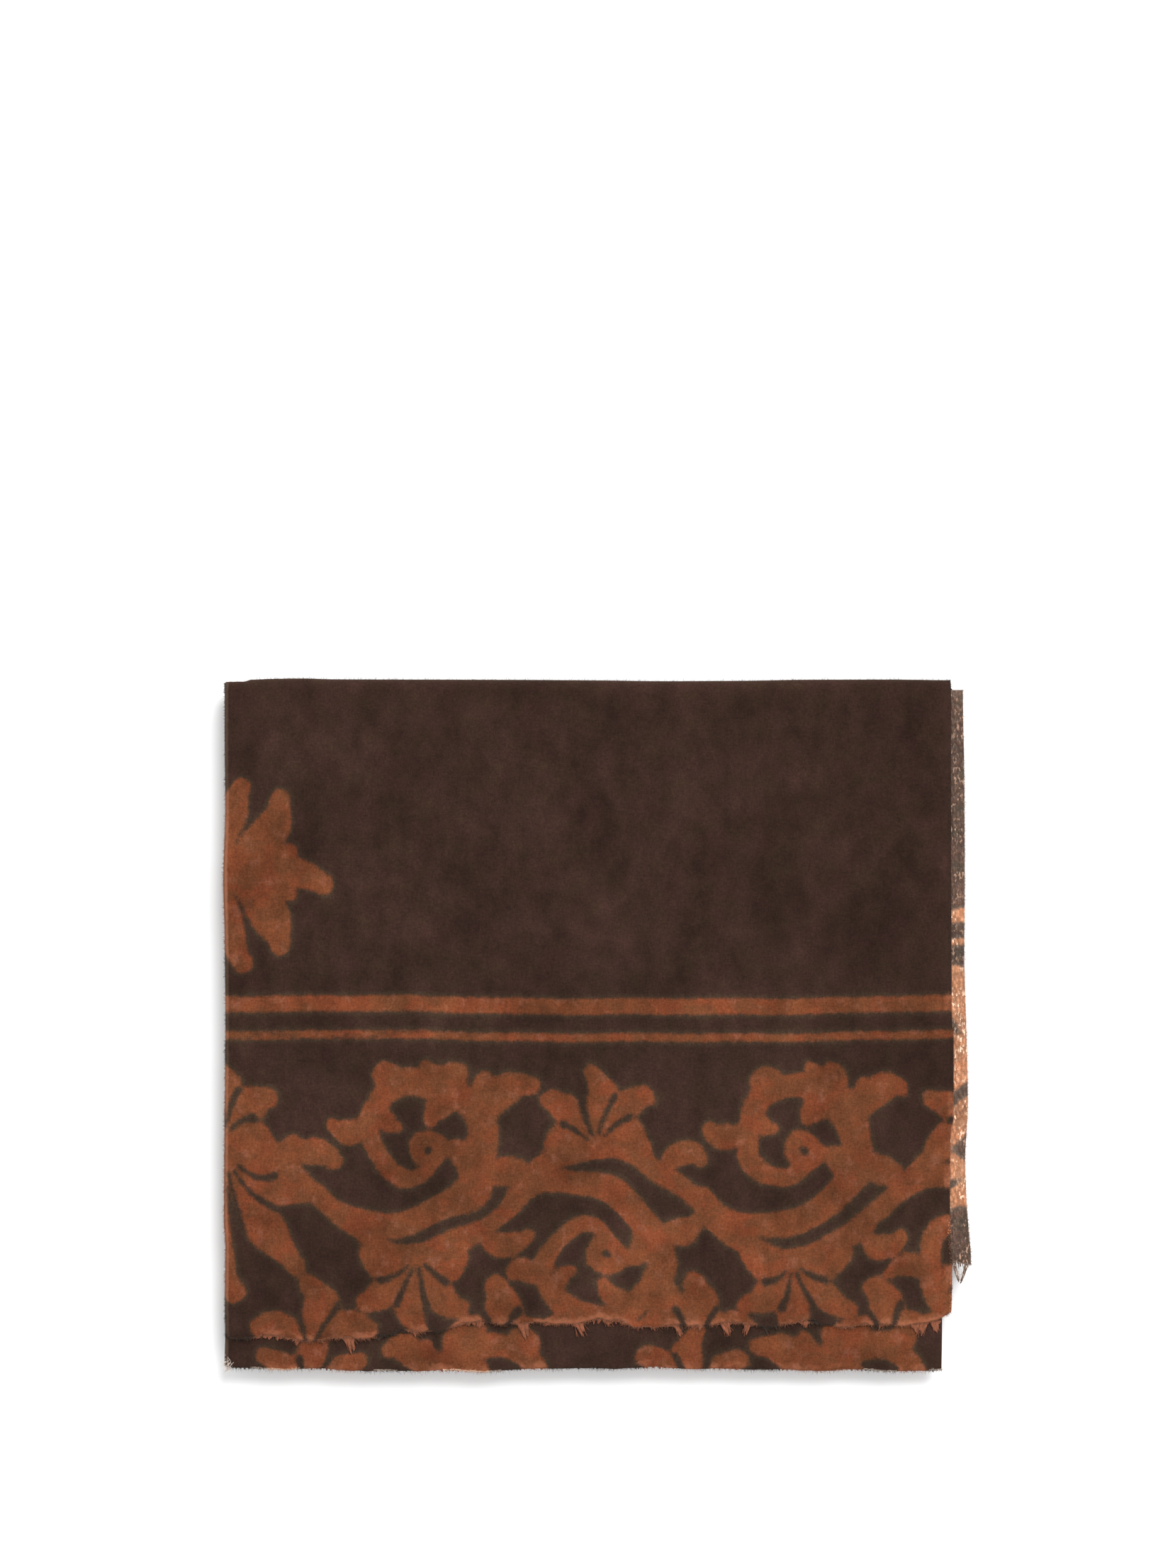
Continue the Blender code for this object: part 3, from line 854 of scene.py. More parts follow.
def core_outline(level):
    """One level's outline, counted round from the front left corner."""
    pair = level.ply // 2
    middle = (2 * pair + 1) * PITCH - AIR / 2
    half = CORE_PLIES * PITCH / 2 - AIR / 2
    fold_top = CORE_PLIES // 2 * PITCH - AIR
    left_line = CORE_FOLDS[pair] + round_inset(level.z, middle, FOLD_RADIUS)
    right_line = CORE_SELVEDGES[level.ply] - level.groove
    front_line = CORE_FRONT + round_inset(level.z, half, half)
    spread = SELVEDGE_SPREAD * (1 + 0.2 * math.sin(2.3 * level.ply))

    def left(y):
        return left_line + SWAY * np.sin(y / SWAY_RUN + 1.7 * pair) + 0.0002 * np.sin(y / 0.006 + pair)

    def right(y):
        sway = SWAY * np.sin(y / SWAY_RUN + 1.7 * level.ply)
        fray = 0.00022 * np.sin(y / 0.0031 + 2.9 * level.ply) * np.sin(y / 0.0084 + level.ply)
        return right_line + sway + fray + spread * smooth(SPREAD_FROM, BACK_LINE, y)

    def front(x):
        return front_line + 0.0003 * np.sin(x / 0.018 + 0.7) + 0.0002 * np.sin(x / 0.0067)

    def back(x):
        if level.z > fold_top:
            return BACK_LINE - CORE_SETBACK - along(BACK_PULL, x)
        return CORE_LOW_BACK - round_inset(level.z, fold_top / 2, fold_top / 2) + 0 * x

    def quarter(centre_x, centre_y, first):
        turn = first + np.linspace(0.12, 0.88, CORNER_POINTS) * math.pi / 2
        return centre_x + CORNER * np.cos(turn), centre_y + CORNER * np.sin(turn)

    near, far = front_line + CORNER, float(back(np.array(0.0))) - CORNER
    far_right = float(back(np.array(FAR_CORNER_X))) - CORNER
    across = np.linspace(float(left(near)) + CORNER, float(right(near)) - CORNER, FRONT_POINTS)
    rise = np.linspace(near, far_right, RIGHT_POINTS)
    ahead = np.linspace(float(right(far_right)) - CORNER, float(left(far)) + CORNER, BACK_POINTS)
    fall = np.linspace(far, near, LEFT_POINTS)
    runs = [
        (across, front(across)),
        quarter(float(right(near)) - CORNER, near, -math.pi / 2),
        (right(rise), rise),
        quarter(float(right(far_right)) - CORNER, far_right, 0.0),
        (ahead, back(ahead)),
        quarter(float(left(far)) + CORNER, far, math.pi / 2),
        (left(fall), fall),
        quarter(float(left(near)) + CORNER, near, math.pi),
    ]
    x = np.concatenate([run[0] for run in runs])
    y = np.concatenate([run[1] for run in runs])
    return x, y


# Rust patches on the core: along its left side they repeat
PATCH_EVERY = 0.187
PATCH_MIDDLE = 0.094
PATCH_HALF = 0.030
PATCH_CHANGE = 0.012
SIDES_FROM = 0.150
FRONT_BLEND = (-0.159, -0.146)


def core_print(x, y, z):
    """The distance to the edge of the rust patches on the hidden plies, below 0 inside."""
    ply = np.floor(z / PITCH)
    pair = np.floor(ply / 2)
    place = (y + 0.053 * pair + 0.02) % PATCH_EVERY
    left = np.abs(place - PATCH_MIDDLE) - (PATCH_HALF + PATCH_CHANGE * np.sin(2.1 * pair))
    speck = np.sin(y / 0.0137 + 1.9 * ply) * np.sin(y / 0.0311 + ply)
    rust = np.where(x < -SIDES_FROM, left, 0.010)
    rust = np.where(x > SIDES_FROM, 0.0045 - 0.006 * speck, rust)
    bent = x / 0.021 + 1.0 + 0.8 * np.sin(z / 0.0034 + x / 0.045)
    small = np.sin(x / 0.0079 - z / 0.0041)
    front = 0.0030 - 0.0042 * np.sin(bent) - 0.0022 * small
    return front + (rust - front) * smooth(*FRONT_BLEND, y)


def make_core(material):
    """The eight hidden plies as one closed shell with deep lines between their edges."""
    levels = core_levels()
    outlines = [core_outline(level) for level in levels]
    rings = [
        np.stack(settled(x, y, np.full(len(x), level.z)), axis=-1)
        for (x, y), level in zip(outlines, levels)
    ]
    x, y = outlines[-1]
    for share in (0.8, 0.55, 0.3, 0.1):
        inner_x, inner_y = x.mean() + share * (x - x.mean()), y.mean() + share * (y - y.mean())
        rings.append(np.stack(settled(inner_x, inner_y, np.full(len(x), levels[-1].z)), axis=-1))
    rings[0][:, 2] = 0.0
    count = len(x)
    faces = [tuple(range(count))[::-1]]
    for i in range(len(rings) - 1):
        a, b = i * count, (i + 1) * count
        for j in range(count):
            k = (j + 1) % count
            faces.append((a + j, a + k, b + k, b + j))
    last = (len(rings) - 1) * count
    faces.append(tuple(range(last, last + count)))
    points = np.concatenate(rings)
    attributes = {
        "print_edge": 1000 * core_print(*points.T),
        # All of the core counts as near a rim, so its edges take a little of the painted rim highlight
        "rim": np.full(len(points), 3.2),
        "fold_line": np.full(len(points), 9.0),
    }
    return add_mesh("core_cloth", points, faces, None, [material], attributes)


# Locks of matted thread and loose fibres: tapered tubes along curved lines
def tubes(name, lines, wide, high, sides, edges, material):
    """One mesh of tubes: lines is tubes x points x 3, wide and high are the radii at each point."""
    count, steps = lines.shape[:2]
    ahead = np.gradient(lines, axis=1)
    ahead /= np.linalg.norm(ahead, axis=-1, keepdims=True) + 1e-12
    up = np.zeros_like(lines)
    up[..., 2] = 1.0
    upright = np.abs(ahead[..., 2]) > 0.95
    up[upright] = (1.0, 0.0, 0.0)
    aside = np.cross(ahead, up)
    aside /= np.linalg.norm(aside, axis=-1, keepdims=True)
    over = np.cross(aside, ahead)
    turn = 2 * math.pi * np.arange(sides) / sides
    ring = wide[..., None, None] * np.cos(turn)[:, None] * aside[:, :, None, :]
    ring = ring + high[..., None, None] * np.sin(turn)[:, None] * over[:, :, None, :]
    points = (lines[:, :, None, :] + ring).reshape(-1, 3)
    numbers = np.arange(count * steps * sides).reshape(count, steps, sides)
    near, far = numbers[:, :-1], numbers[:, 1:]
    quads = np.stack([near, np.roll(near, -1, 2), np.roll(far, -1, 2), far], axis=-1)
    faces = quads.reshape(-1, 4).tolist()
    faces += numbers[:, 0, ::-1].tolist()
    faces += numbers[:, -1].tolist()
    colours = {"print_edge": np.repeat(edges, steps * sides)}
    return add_mesh(name, points, faces, None, [material], colours)


def floor_a(x):
    fall = fallen(END_A, END_B, x)
    return 11 * PITCH - fall - dipped(fall, 0.0)


def floor_b(x):
    return 10 * PITCH + 0 * x


def floor_c(x):
    return 9 * PITCH - fallen(END_C, END_D, x)


# A tuft hangs from a raw end at x: how long and how wide it is, and how it leans
Tuft = namedtuple("Tuft", "x length half lean")
HANGING_TUFTS = [
    Tuft(-0.1690, 0.0022, 0.0018, 0.0004),
    Tuft(-0.1440, 0.0034, 0.0024, -0.0012),
    Tuft(-0.1330, 0.0024, 0.0020, 0.0008),
    Tuft(-0.1200, 0.0082, 0.0030, 0.0018),
    Tuft(-0.1045, 0.0026, 0.0022, -0.0009),
    Tuft(-0.0880, 0.0030, 0.0016, 0.0006),
    Tuft(-0.0560, 0.0026, 0.0020, -0.0008),
    Tuft(-0.0363, 0.0084, 0.0030, 0.0020),
    Tuft(-0.0240, 0.0020, 0.0018, -0.0006),
    Tuft(-0.0097, 0.0066, 0.0027, 0.0026),
    Tuft(0.0050, 0.0022, 0.0020, 0.0007),
    Tuft(0.0130, 0.0018, 0.0020, -0.0007),
    Tuft(0.0270, 0.0028, 0.0018, 0.0008),
    Tuft(0.0387, 0.0050, 0.0024, 0.0018),
    Tuft(0.0500, 0.0026, 0.0020, -0.0009),
    Tuft(0.0616, 0.0060, 0.0021, 0.0020),
    Tuft(0.0732, 0.0058, 0.0020, -0.0014),
    Tuft(0.0807, 0.0062, 0.0019, 0.0016),
    Tuft(0.0855, 0.0036, 0.0016, 0.0010),
    Tuft(0.1010, 0.0020, 0.0018, -0.0006),
    Tuft(0.1190, 0.0024, 0.0020, 0.0008),
    Tuft(0.1365, 0.0030, 0.0018, -0.0010),
    Tuft(0.1530, 0.0046, 0.0022, 0.0012),
    Tuft(0.1572, 0.0056, 0.0020, -0.0010),
    Tuft(0.1625, 0.0044, 0.0018, 0.0012),
]
LOOSE_THREADS = [
    Tuft(0.1718, 0.0094, 0.00052, 0.0028),
    Tuft(0.1727, 0.0086, 0.00040, 0.0019),
    Tuft(0.1779, 0.0092, 0.00042, -0.0026),
    Tuft(0.1788, 0.0104, 0.00052, -0.0036),
    Tuft(0.1712, 0.0052, 0.00024, 0.0018),
    Tuft(0.1752, 0.0022, 0.00030, 0.0002),
    Tuft(0.1794, 0.0058, 0.00024, -0.0022),
    Tuft(0.1742, 0.0030, 0.00022, 0.0006),
    Tuft(0.1753, 0.0024, 0.00022, -0.0004),
    Tuft(0.1761, 0.0030, 0.00022, 0.0006),
]

# White fibres lie along the two bundles of loose threads, each from one point to another: painted
# highlights on the threads
THREAD_BUNDLES = (
    ((0.1717, -0.1150), (0.1746, -0.1226)),
    ((0.1790, -0.1142), (0.1751, -0.1236)),
)

# White hairs also stand round the front left corner of ply C, no further out than its limit, as painted
# highlights
CORNER_HAIR = (-0.1778, -0.1642)
CORNER_SPREAD = (0.0011, 0.0016)
CORNER_LIMIT = (-0.1790, -0.1662)
CORNER_HAIRS = 64
CORNER_WAY = (-0.7, -0.5, 0.2)
BUNDLE_HAIRS = 70
BUNDLE_SPREAD = 0.0003

# A raw end's tufts: the line that they hang from, the heights where they start and land, the
# tufts given one by one, and the small ones between them
Small = namedtuple("Small", "count length half left right")
Fringe = namedtuple("Fringe", "name end floor land print_of upper placed small root seed hairs")


def small_tufts(fringe, draw):
    """Short matted lumps all along a raw end, between the placed tufts."""
    small = fringe.small
    places = np.linspace(small.left, small.right, small.count)
    made = []
    for x in places + draw.uniform(-1, 1, small.count) * 0.0010:
        length = small.length * draw.uniform(0.25, 1.0) ** 1.3
        half = small.half * draw.uniform(0.6, 1.3)
        made.append(Tuft(x, length, half, draw.uniform(-0.0007, 0.0007)))
    return made


# Thin tufts are single threads, and wide ones have several parts and, from a length on, hairs
THREAD_HALF = 0.0003
SINGLE_HALF = 0.0006
LOCK_PARTS = 5
LOCK_STEPS = 8
LOCK_SIDES = 6
LOCK_SWAY = 0.00035
LOCK_ARCH = 0.0005
ARCHED_FROM = 0.002
LOCK_HIGH = 0.00042
HAIRED_FROM = 0.0014
HAIR_HALF = 0.00010


def make_locks(fringe, material):
    """A raw end's tufts: each a flattened lump of matted thread with a few finer points."""
    draw = np.random.default_rng(fringe.seed)
    tufts = list(fringe.placed) + small_tufts(fringe, draw)
    lines = []
    wides = []
    highs = []
    t = np.linspace(0, 1, LOCK_STEPS)
    for tuft in tufts:
        single = tuft.half < SINGLE_HALF
        start = float(along(fringe.end, tuft.x))
        low = float(fringe.floor(np.array(tuft.x)))
        drop = low - fringe.land
        for part in range(1 if single else LOCK_PARTS):
            off = 0.0 if single else (part - 2) / 2 * tuft.half * 0.75
            middle = single or part == LOCK_PARTS // 2
            own = tuft.length * (1.0 if middle else draw.uniform(0.35, 0.85))
            x = tuft.x + off * (1 - 0.55 * t) + tuft.lean * t**1.6
            x = x + draw.uniform(-LOCK_SWAY, LOCK_SWAY) * np.sin(t * draw.uniform(3, 6)) * t
            y = start + fringe.root - (own + fringe.root) * t
            rise = 0.00030 if tuft.half < THREAD_HALF else 0.00050
            arch = LOCK_ARCH * draw.uniform(0.0, 1.0) * np.sin(math.pi * t) * (own > ARCHED_FROM)
            z = low + rise + arch - drop * smooth(0.0, 0.9, t)
            lines.append(np.stack(settled(x, y, z - droop(y)), axis=-1))
            half = tuft.half * (1.0 if single else draw.uniform(0.30, 0.50))
            wides.append(half * (1.0 - (0.50 if single else 0.74) * t**2.2))
            highs.append(min(half, LOCK_HIGH) * (1.0 - 0.45 * t))
        for hair in range(fringe.hairs if tuft.length > HAIRED_FROM else 0):
            x = tuft.x + tuft.half * draw.uniform(-0.9, 0.9) + draw.normal(0, 0.0010) * t**1.5
            y = start - tuft.length * draw.uniform(0.1, 1.15) * t
            z = low + 0.0006 + draw.uniform(-0.0003, 0.0009) * t - drop * t
            lines.append(np.stack(settled(x + tuft.lean * t, y, z), axis=-1))
            wides.append(HAIR_HALF * (1 - 0.4 * t))
            highs.append(HAIR_HALF * (1 - 0.4 * t))
    lines, wides, highs = np.array(lines), np.array(wides), np.array(highs)
    root = lines[:, 0]
    edges = fringe.print_of(root[:, 0] - FOLD_X, root[:, 1], fringe.upper)
    return tubes(fringe.name, lines, wides, highs, LOCK_SIDES, edges, material)


# Loose fibres that stand off the cloth's rims and soften them
FIBRE_POINTS = 4
FIBRE_SIDES = 3
FIBRE_STRAY = 0.55
FIBRE_CURL = 0.45
LOWEST_FIBRE = 0.0003


def make_fuzz(name, roots, ahead, length, edges, material, seed, radius):
    """Fine curved fibres from the given root points, in about the given directions."""
    draw = np.random.default_rng(seed)
    count = len(roots)
    t = np.linspace(0, 1, FIBRE_POINTS)
    heading = ahead + draw.normal(0, FIBRE_STRAY, (count, 3)) * (1.0, 1.0, 0.5)
    heading /= np.linalg.norm(heading, axis=1, keepdims=True)
    reach = length * draw.uniform(0.35, 1.0, count) ** 1.5
    curl_way = draw.normal(0, FIBRE_CURL, (count, 3))
    lines = roots[:, None, :] + reach[:, None, None] * (
        heading[:, None, :] * t[:, None] + curl_way[:, None, :] * (t**2)[:, None] * 0.6
    )
    lines[..., 2] = np.maximum(lines[..., 2], LOWEST_FIBRE)
    thick = radius * (1 - 0.6 * t) * np.ones((count, 1))
    return tubes(name, lines, thick, thick, FIBRE_SIDES, edges, material)


# A stretch of a leaf that fibres grow from: its rows and columns, their direction and number
Rim = namedtuple("Rim", "surface prints rows columns ahead count")


def rim_roots(rims, seed):
    """Root points, directions and print distances, scattered over some parts of the leaves."""
    draw = np.random.default_rng(seed)
    roots = []
    ways = []
    edges = []
    for rim in rims:
        rows = rim.rows[draw.integers(0, len(rim.rows) - 1, rim.count)]
        columns = rim.columns[draw.integers(0, len(rim.columns), rim.count)]
        blend = draw.uniform(0, 1, (rim.count, 1))
        aside = draw.uniform(0, 1, (rim.count, 1))
        points = rim.surface.points
        beside = np.minimum(columns + 1, points.shape[1] - 1)
        near = points[rows, columns] * (1 - aside) + points[rows, beside] * aside
        far = points[rows + 1, columns] * (1 - aside) + points[rows + 1, beside] * aside
        roots.append(near * (1 - blend) + far * blend)
        ways.append(np.tile(np.array(rim.ahead, float), (rim.count, 1)))
        edges.append(rim.prints[rows, columns])
    return np.concatenate(roots), np.concatenate(ways), np.concatenate(edges)


# Materials. A grain is a noise: how fine and detailed, what it runs between, how stretched and rough
Grain = namedtuple("Grain", "scale detail low high stretch rough", defaults=((1.0, 1.0, 1.0), 0.5))


class Shader:
    """A material under construction, with short calls for the nodes that it needs."""

    def __init__(self, name):
        self.material = bpy.data.materials.new(name)
        self.material.use_nodes = True
        self.tree = self.material.node_tree
        self.main = self.tree.nodes["Principled BSDF"]
        self.place = self.node("ShaderNodeTexCoord").outputs["Object"]

    def node(self, kind, **settings):
        made = self.tree.nodes.new(kind)
        for key, value in settings.items():
            setattr(made, key, value)
        return made

    def plug(self, socket, value):
        if isinstance(value, bpy.types.NodeSocket):
            self.tree.links.new(value, socket)
        elif isinstance(value, tuple):
            socket.default_value = (*value, 1.0)
        else:
            socket.default_value = value

    def attribute(self, name):
        return self.node("ShaderNodeAttribute", attribute_name=name).outputs["Fac"]

    def math(self, operation, *values):
        made = self.node("ShaderNodeMath", operation=operation)
        for socket, value in zip(made.inputs, values):
            self.plug(socket, value)
        return made.outputs["Value"]

    def texture(self, kind, stretch, **inputs):
        """A texture in the object's own space, stretched along its axes."""
        mapping = self.node("ShaderNodeMapping")
        mapping.inputs["Scale"].default_value = stretch
        self.plug(mapping.inputs["Vector"], self.place)
        made = self.node(kind)
        self.plug(made.inputs["Vector"], mapping.outputs["Vector"])
        for name, value in inputs.items():
            made.inputs[name].default_value = value
        return made

    def noise(self, grain):
        sizes = {"Scale": grain.scale, "Detail": grain.detail, "Roughness": grain.rough}
        return self.texture("ShaderNodeTexNoise", grain.stretch, **sizes).outputs["Fac"]

    def cells(self, scale, stretch):
        return self.texture("ShaderNodeTexVoronoi", stretch, Scale=scale).outputs["Distance"]

    def mottled(self, grain):
        """A noise that runs from the grain's low to its high."""
        return self.spread(self.noise(grain), grain.low, grain.high)

    def patches(self, grain):
        """Patches from 0 to 1, with soft edges where the noise passes from low to high."""
        return self.step(self.noise(grain), grain.low, grain.high)

    def step(self, value, low, high):
        made = self.node("ShaderNodeMapRange", interpolation_type="SMOOTHSTEP")
        for key, given in (("Value", value), ("From Min", low), ("From Max", high)):
            self.plug(made.inputs[key], given)
        return made.outputs["Result"]

    def fade(self, value, low, high):
        """1 below low, 0 above high, and a soft step between them."""
        return self.math("SUBTRACT", 1.0, self.step(value, low, high))

    def times(self, one, two):
        return self.math("MULTIPLY", one, two)

    def spread(self, value, low, high):
        """A value around one half, drawn out to run from low to high."""
        return self.math("MULTIPLY_ADD", value, high - low, low)

    def mix(self, factor, one, two, blend="MIX"):
        made = self.node("ShaderNodeMix", data_type="RGBA", blend_type=blend)
        self.plug(made.inputs[0], factor)
        self.plug(made.inputs[6], one)
        self.plug(made.inputs[7], two)
        return made.outputs[2]

    def bump(self, height, strength, distance):
        made = self.node("ShaderNodeBump")
        made.inputs["Strength"].default_value = strength
        made.inputs["Distance"].default_value = distance
        self.plug(made.inputs["Height"], height)
        self.plug(self.main.inputs["Normal"], made.outputs["Normal"])

    def finish(self, colour, roughness, sheen, sheen_tint, specular):
        self.plug(self.main.inputs["Base Color"], colour)
        self.main.inputs["Roughness"].default_value = roughness
        self.main.inputs["Sheen Weight"].default_value = sheen
        self.main.inputs["Sheen Roughness"].default_value = 0.5
        self.main.inputs["Sheen Tint"].default_value = (*sheen_tint, 1.0)
        self.main.inputs["Specular IOR Level"].default_value = specular
        return self.material


Cloth = namedtuple("Cloth", "ground ground_red ground_olive rust rust_red rust_brown rust_pale halo")
FACE = Cloth(
    ground=(0.0262, 0.0131, 0.0098),
    ground_red=(0.0280, 0.0131, 0.0102),
    ground_olive=(0.0256, 0.0137, 0.0092),
    rust=(0.1150, 0.0358, 0.0145),
    rust_red=(0.1290, 0.0340, 0.0142),
    rust_brown=(0.0960, 0.0340, 0.0145),
    rust_pale=(0.1750, 0.0640, 0.0370),
    halo=(0.0350, 0.0225, 0.0140),
)
# The reverse's colours are paler than the face's: partly its own paler colour, partly painted highlight
# of the light on ply B's drooping strip
REVERSE = Cloth(
    ground=(0.0640, 0.0310, 0.0180),
    ground_red=(0.0740, 0.0350, 0.0215),
    ground_olive=(0.0570, 0.0335, 0.0190),
    rust=(0.3950, 0.1640, 0.0760),
    rust_red=(0.4050, 0.1540, 0.0690),
    rust_brown=(0.3500, 0.1560, 0.0780),
    rust_pale=(0.5400, 0.2800, 0.1600),
    halo=(0.1100, 0.0700, 0.0480),
)


# The printed cloth's textures. Distances to the print's edge and to a rim are in mm
WANDER = Grain(330, 3.0, -1.1, 1.1)
FUZZY = Grain(1700, 2.0, -0.9, 0.9)
CLOUDS = Grain(62, 3.0, 0.40, 0.62, (1.0, 0.6, 1.0))
SMEARS = Grain(95, 3.0, 0.44, 0.64, (1.0, 1.4, 1.0))
PALE_SPOTS = Grain(170, 3.0, 0.53, 0.76, (1.0, 0.8, 1.0))
WARP = Grain(1500, 2.0, 0.76, 1.24, (1.0, 0.25, 1.0))
WEFT = Grain(1500, 2.0, 0.78, 1.22, (0.25, 1.0, 1.0))
NAP = Grain(1000, 3.0, 0.42, 1.58, rough=0.65)
SOFT_SHADES = Grain(110, 3.0, 0.50, 1.50, (1.0, 0.7, 1.0))
BROAD_SHADES = Grain(34, 2.0, 0.45, 1.55, (1.0, 0.8, 1.0))
RIM_BREAKS = Grain(520, 3.0, -2.4, 2.4)
RIM_CLUMPS = Grain(85, 3.0, 0.40, 0.62)
NAP_RELIEF = Grain(1500, 3.0, 0.0, 1.0, (1.0, 0.4, 1.0), 0.65)
LUMP_RELIEF = Grain(330, 3.0, 0.0, 1.0)
GLINTS = Grain(900, 2.0, 0.54, 0.64, (1.0, 0.5, 1.0))
GLINT_CLUSTERS = Grain(170, 2.0, 0.40, 0.62, (1.0, 0.7, 1.0))
FIBRE_SHADES = Grain(700, 2.0, 0.45, 1.55)
FLOOR_SHADES = Grain(3.0, 2.0, 0.2, 0.8)
SHAPE_EDGE = (-1.15, 0.95)
HALO_EDGE = (0.4, 3.0)
RIM_REACH = (0.1, 4.4)
FOLD_REACH = (0.3, 3.6)
FIBRE_EDGE = (-0.8, 0.8)


def printed_colour(shader, cloth):
    """The cloth's colour: fuzzy-edged rust shapes on a brown ground, both softly mottled."""
    stray = shader.math("ADD", shader.mottled(WANDER), shader.mottled(FUZZY))
    edge = shader.math("ADD", shader.attribute("print_edge"), stray)
    shape = shader.fade(edge, *SHAPE_EDGE)
    beside = shader.fade(edge, *HALO_EDGE)
    cloud = shader.patches(CLOUDS)
    smear = shader.patches(SMEARS)
    ground = shader.mix(cloud, cloth.ground, cloth.ground_red)
    ground = shader.mix(smear, ground, cloth.ground_olive)
    ground = shader.mix(shader.times(beside, 0.70), ground, cloth.halo)
    rust = shader.mix(cloud, cloth.rust, cloth.rust_red)
    rust = shader.mix(shader.times(smear, 0.8), rust, cloth.rust_brown)
    rust = shader.mix(shader.times(shader.patches(PALE_SPOTS), 0.6), rust, cloth.rust_pale)
    colour = shader.mix(shape, ground, rust)
    tone = shader.mottled(WARP)
    for grain in (WEFT, NAP, SOFT_SHADES, BROAD_SHADES):
        tone = shader.times(tone, shader.mottled(grain))
    return shader.mix(1.0, colour, tone, "MULTIPLY"), shape


# Rim colours: partly the rims' paler loose fibre, partly painted highlight where the rims catch the
# light
Rims = namedtuple("Rims", "raw_ground raw_rust fold_ground fold_rust")
RIM_TINTS_AND_HIGHLIGHTS = Rims(
    raw_ground=(0.034, 0.019, 0.014),
    raw_rust=(0.330, 0.118, 0.062),
    fold_ground=(0.076, 0.051, 0.037),
    fold_rust=(0.270, 0.116, 0.068),
)
GLINT_ON_GROUND = (0.48, 0.29, 0.195)
GLINT_ON_RUST = (0.90, 0.62, 0.44)


def highlighted_rims(shader, colour, shape):
    """Raw ends, selvedges and the lengthwise fold show more loose fibre, which is lighter, and painted
    highlights where they catch the light.
    """
    # Where raw ends and selvedges take painted highlight with their paler fibre, in patches
    breaks = shader.mottled(RIM_BREAKS)
    rim = shader.fade(shader.math("ADD", shader.attribute("rim"), breaks), *RIM_REACH)
    rim = shader.times(rim, shader.patches(RIM_CLUMPS))
    lit_fibre = shader.mix(shape, RIM_TINTS_AND_HIGHLIGHTS.raw_ground, RIM_TINTS_AND_HIGHLIGHTS.raw_rust)
    colour = shader.mix(shader.times(rim, 0.60), colour, lit_fibre)
    # Where the lengthwise fold takes painted highlight with its paler fibre
    fold = shader.math("ADD", shader.attribute("fold_line"), shader.times(breaks, 0.5))
    fold = shader.fade(fold, *FOLD_REACH)
    lit_fibre = shader.mix(shape, RIM_TINTS_AND_HIGHLIGHTS.fold_ground, RIM_TINTS_AND_HIGHLIGHTS.fold_rust)
    return shader.mix(shader.times(fold, 0.62), colour, lit_fibre)


def cloth_face():
    """Brushed printed cloth."""
    shader = Shader("cloth_face")
    colour, shape = printed_colour(shader, FACE)
    colour = highlighted_rims(shader, colour, shape)
    relief = shader.math("MULTIPLY_ADD", shader.noise(LUMP_RELIEF), 1.5, shader.noise(NAP_RELIEF))
    shader.bump(relief, strength=0.35, distance=0.0006)
    return shader.finish(colour, roughness=1.0, sheen=0.10, sheen_tint=(0.75, 0.50, 0.34), specular=0.05)


def cloth_reverse():
    """The reverse, paler than the face, with painted light and shade on its pebbles and painted glints
    where its flat matted fibres catch the light.
    """
    shader = Shader("cloth_reverse")
    colour, shape = printed_colour(shader, REVERSE)
    # Painted light and shade on the pebbles: lighter on their tops, darker in the hollows between them
    pebbles = shader.cells(620, (1.0, 0.55, 1.0))
    pebble_light_and_shade = shader.spread(shader.step(pebbles, 0.10, 0.70), 1.16, 0.70)
    colour = shader.mix(1.0, colour, pebble_light_and_shade, "MULTIPLY")
    glint = shader.times(shader.patches(GLINTS), shader.patches(GLINT_CLUSTERS))
    glint = shader.times(glint, shader.spread(shape, 0.56, 0.80))
    colour = shader.mix(glint, colour, shader.mix(shape, GLINT_ON_GROUND, GLINT_ON_RUST))
    shader.bump(shader.math("SUBTRACT", 1.0, pebbles), strength=0.9, distance=0.0008)
    return shader.finish(colour, roughness=0.55, sheen=0.15, sheen_tint=(0.9, 0.72, 0.58), specular=0.3)


def fibre_material(name, ground, rust, roughness=0.8):
    """Loose fibres, coloured as the print is where they grow."""
    shader = Shader(name)
    shape = shader.fade(shader.attribute("print_edge"), *FIBRE_EDGE)
    colour = shader.mix(shape, ground, rust)
    colour = shader.mix(1.0, colour, shader.mottled(FIBRE_SHADES), "MULTIPLY")
    return shader.finish(colour, roughness, sheen=0.1, sheen_tint=(0.8, 0.6, 0.45), specular=0.1)


def floor_material():
    shader = Shader("floor_paper")
    colour = shader.mix(shader.patches(FLOOR_SHADES), (0.82, 0.82, 0.82), (0.84, 0.84, 0.84))
    return shader.finish(colour, roughness=1.0, sheen=0.0, sheen_tint=(1.0, 1.0, 1.0), specular=0.0)


face = cloth_face()
reverse = cloth_reverse()
# The tufts' and loose fibres' colours are lighter than the cloth's: partly their paler loose fibre,
# partly painted highlight where the rims catch the light
fibres_matted = fibre_material("fibres_matted", (0.032, 0.019, 0.014), (0.195, 0.066, 0.034))
fibres_loose = fibre_material("fibres_loose", (0.041, 0.027, 0.020), (0.235, 0.092, 0.050))
# Painted glints: the pale fibres on ply B's strip
fibres_pale_glint = fibre_material("fibres_pale_glint", (0.260, 0.190, 0.145), (0.560, 0.330, 0.215), 0.5)
# Painted highlights: the white hairs on the loose threads and at ply C's corner
fibres_white_highlight = fibre_material("fibres_white_highlight", (0.560, 0.470, 0.410), (0.760, 0.540, 0.410), 0.5)
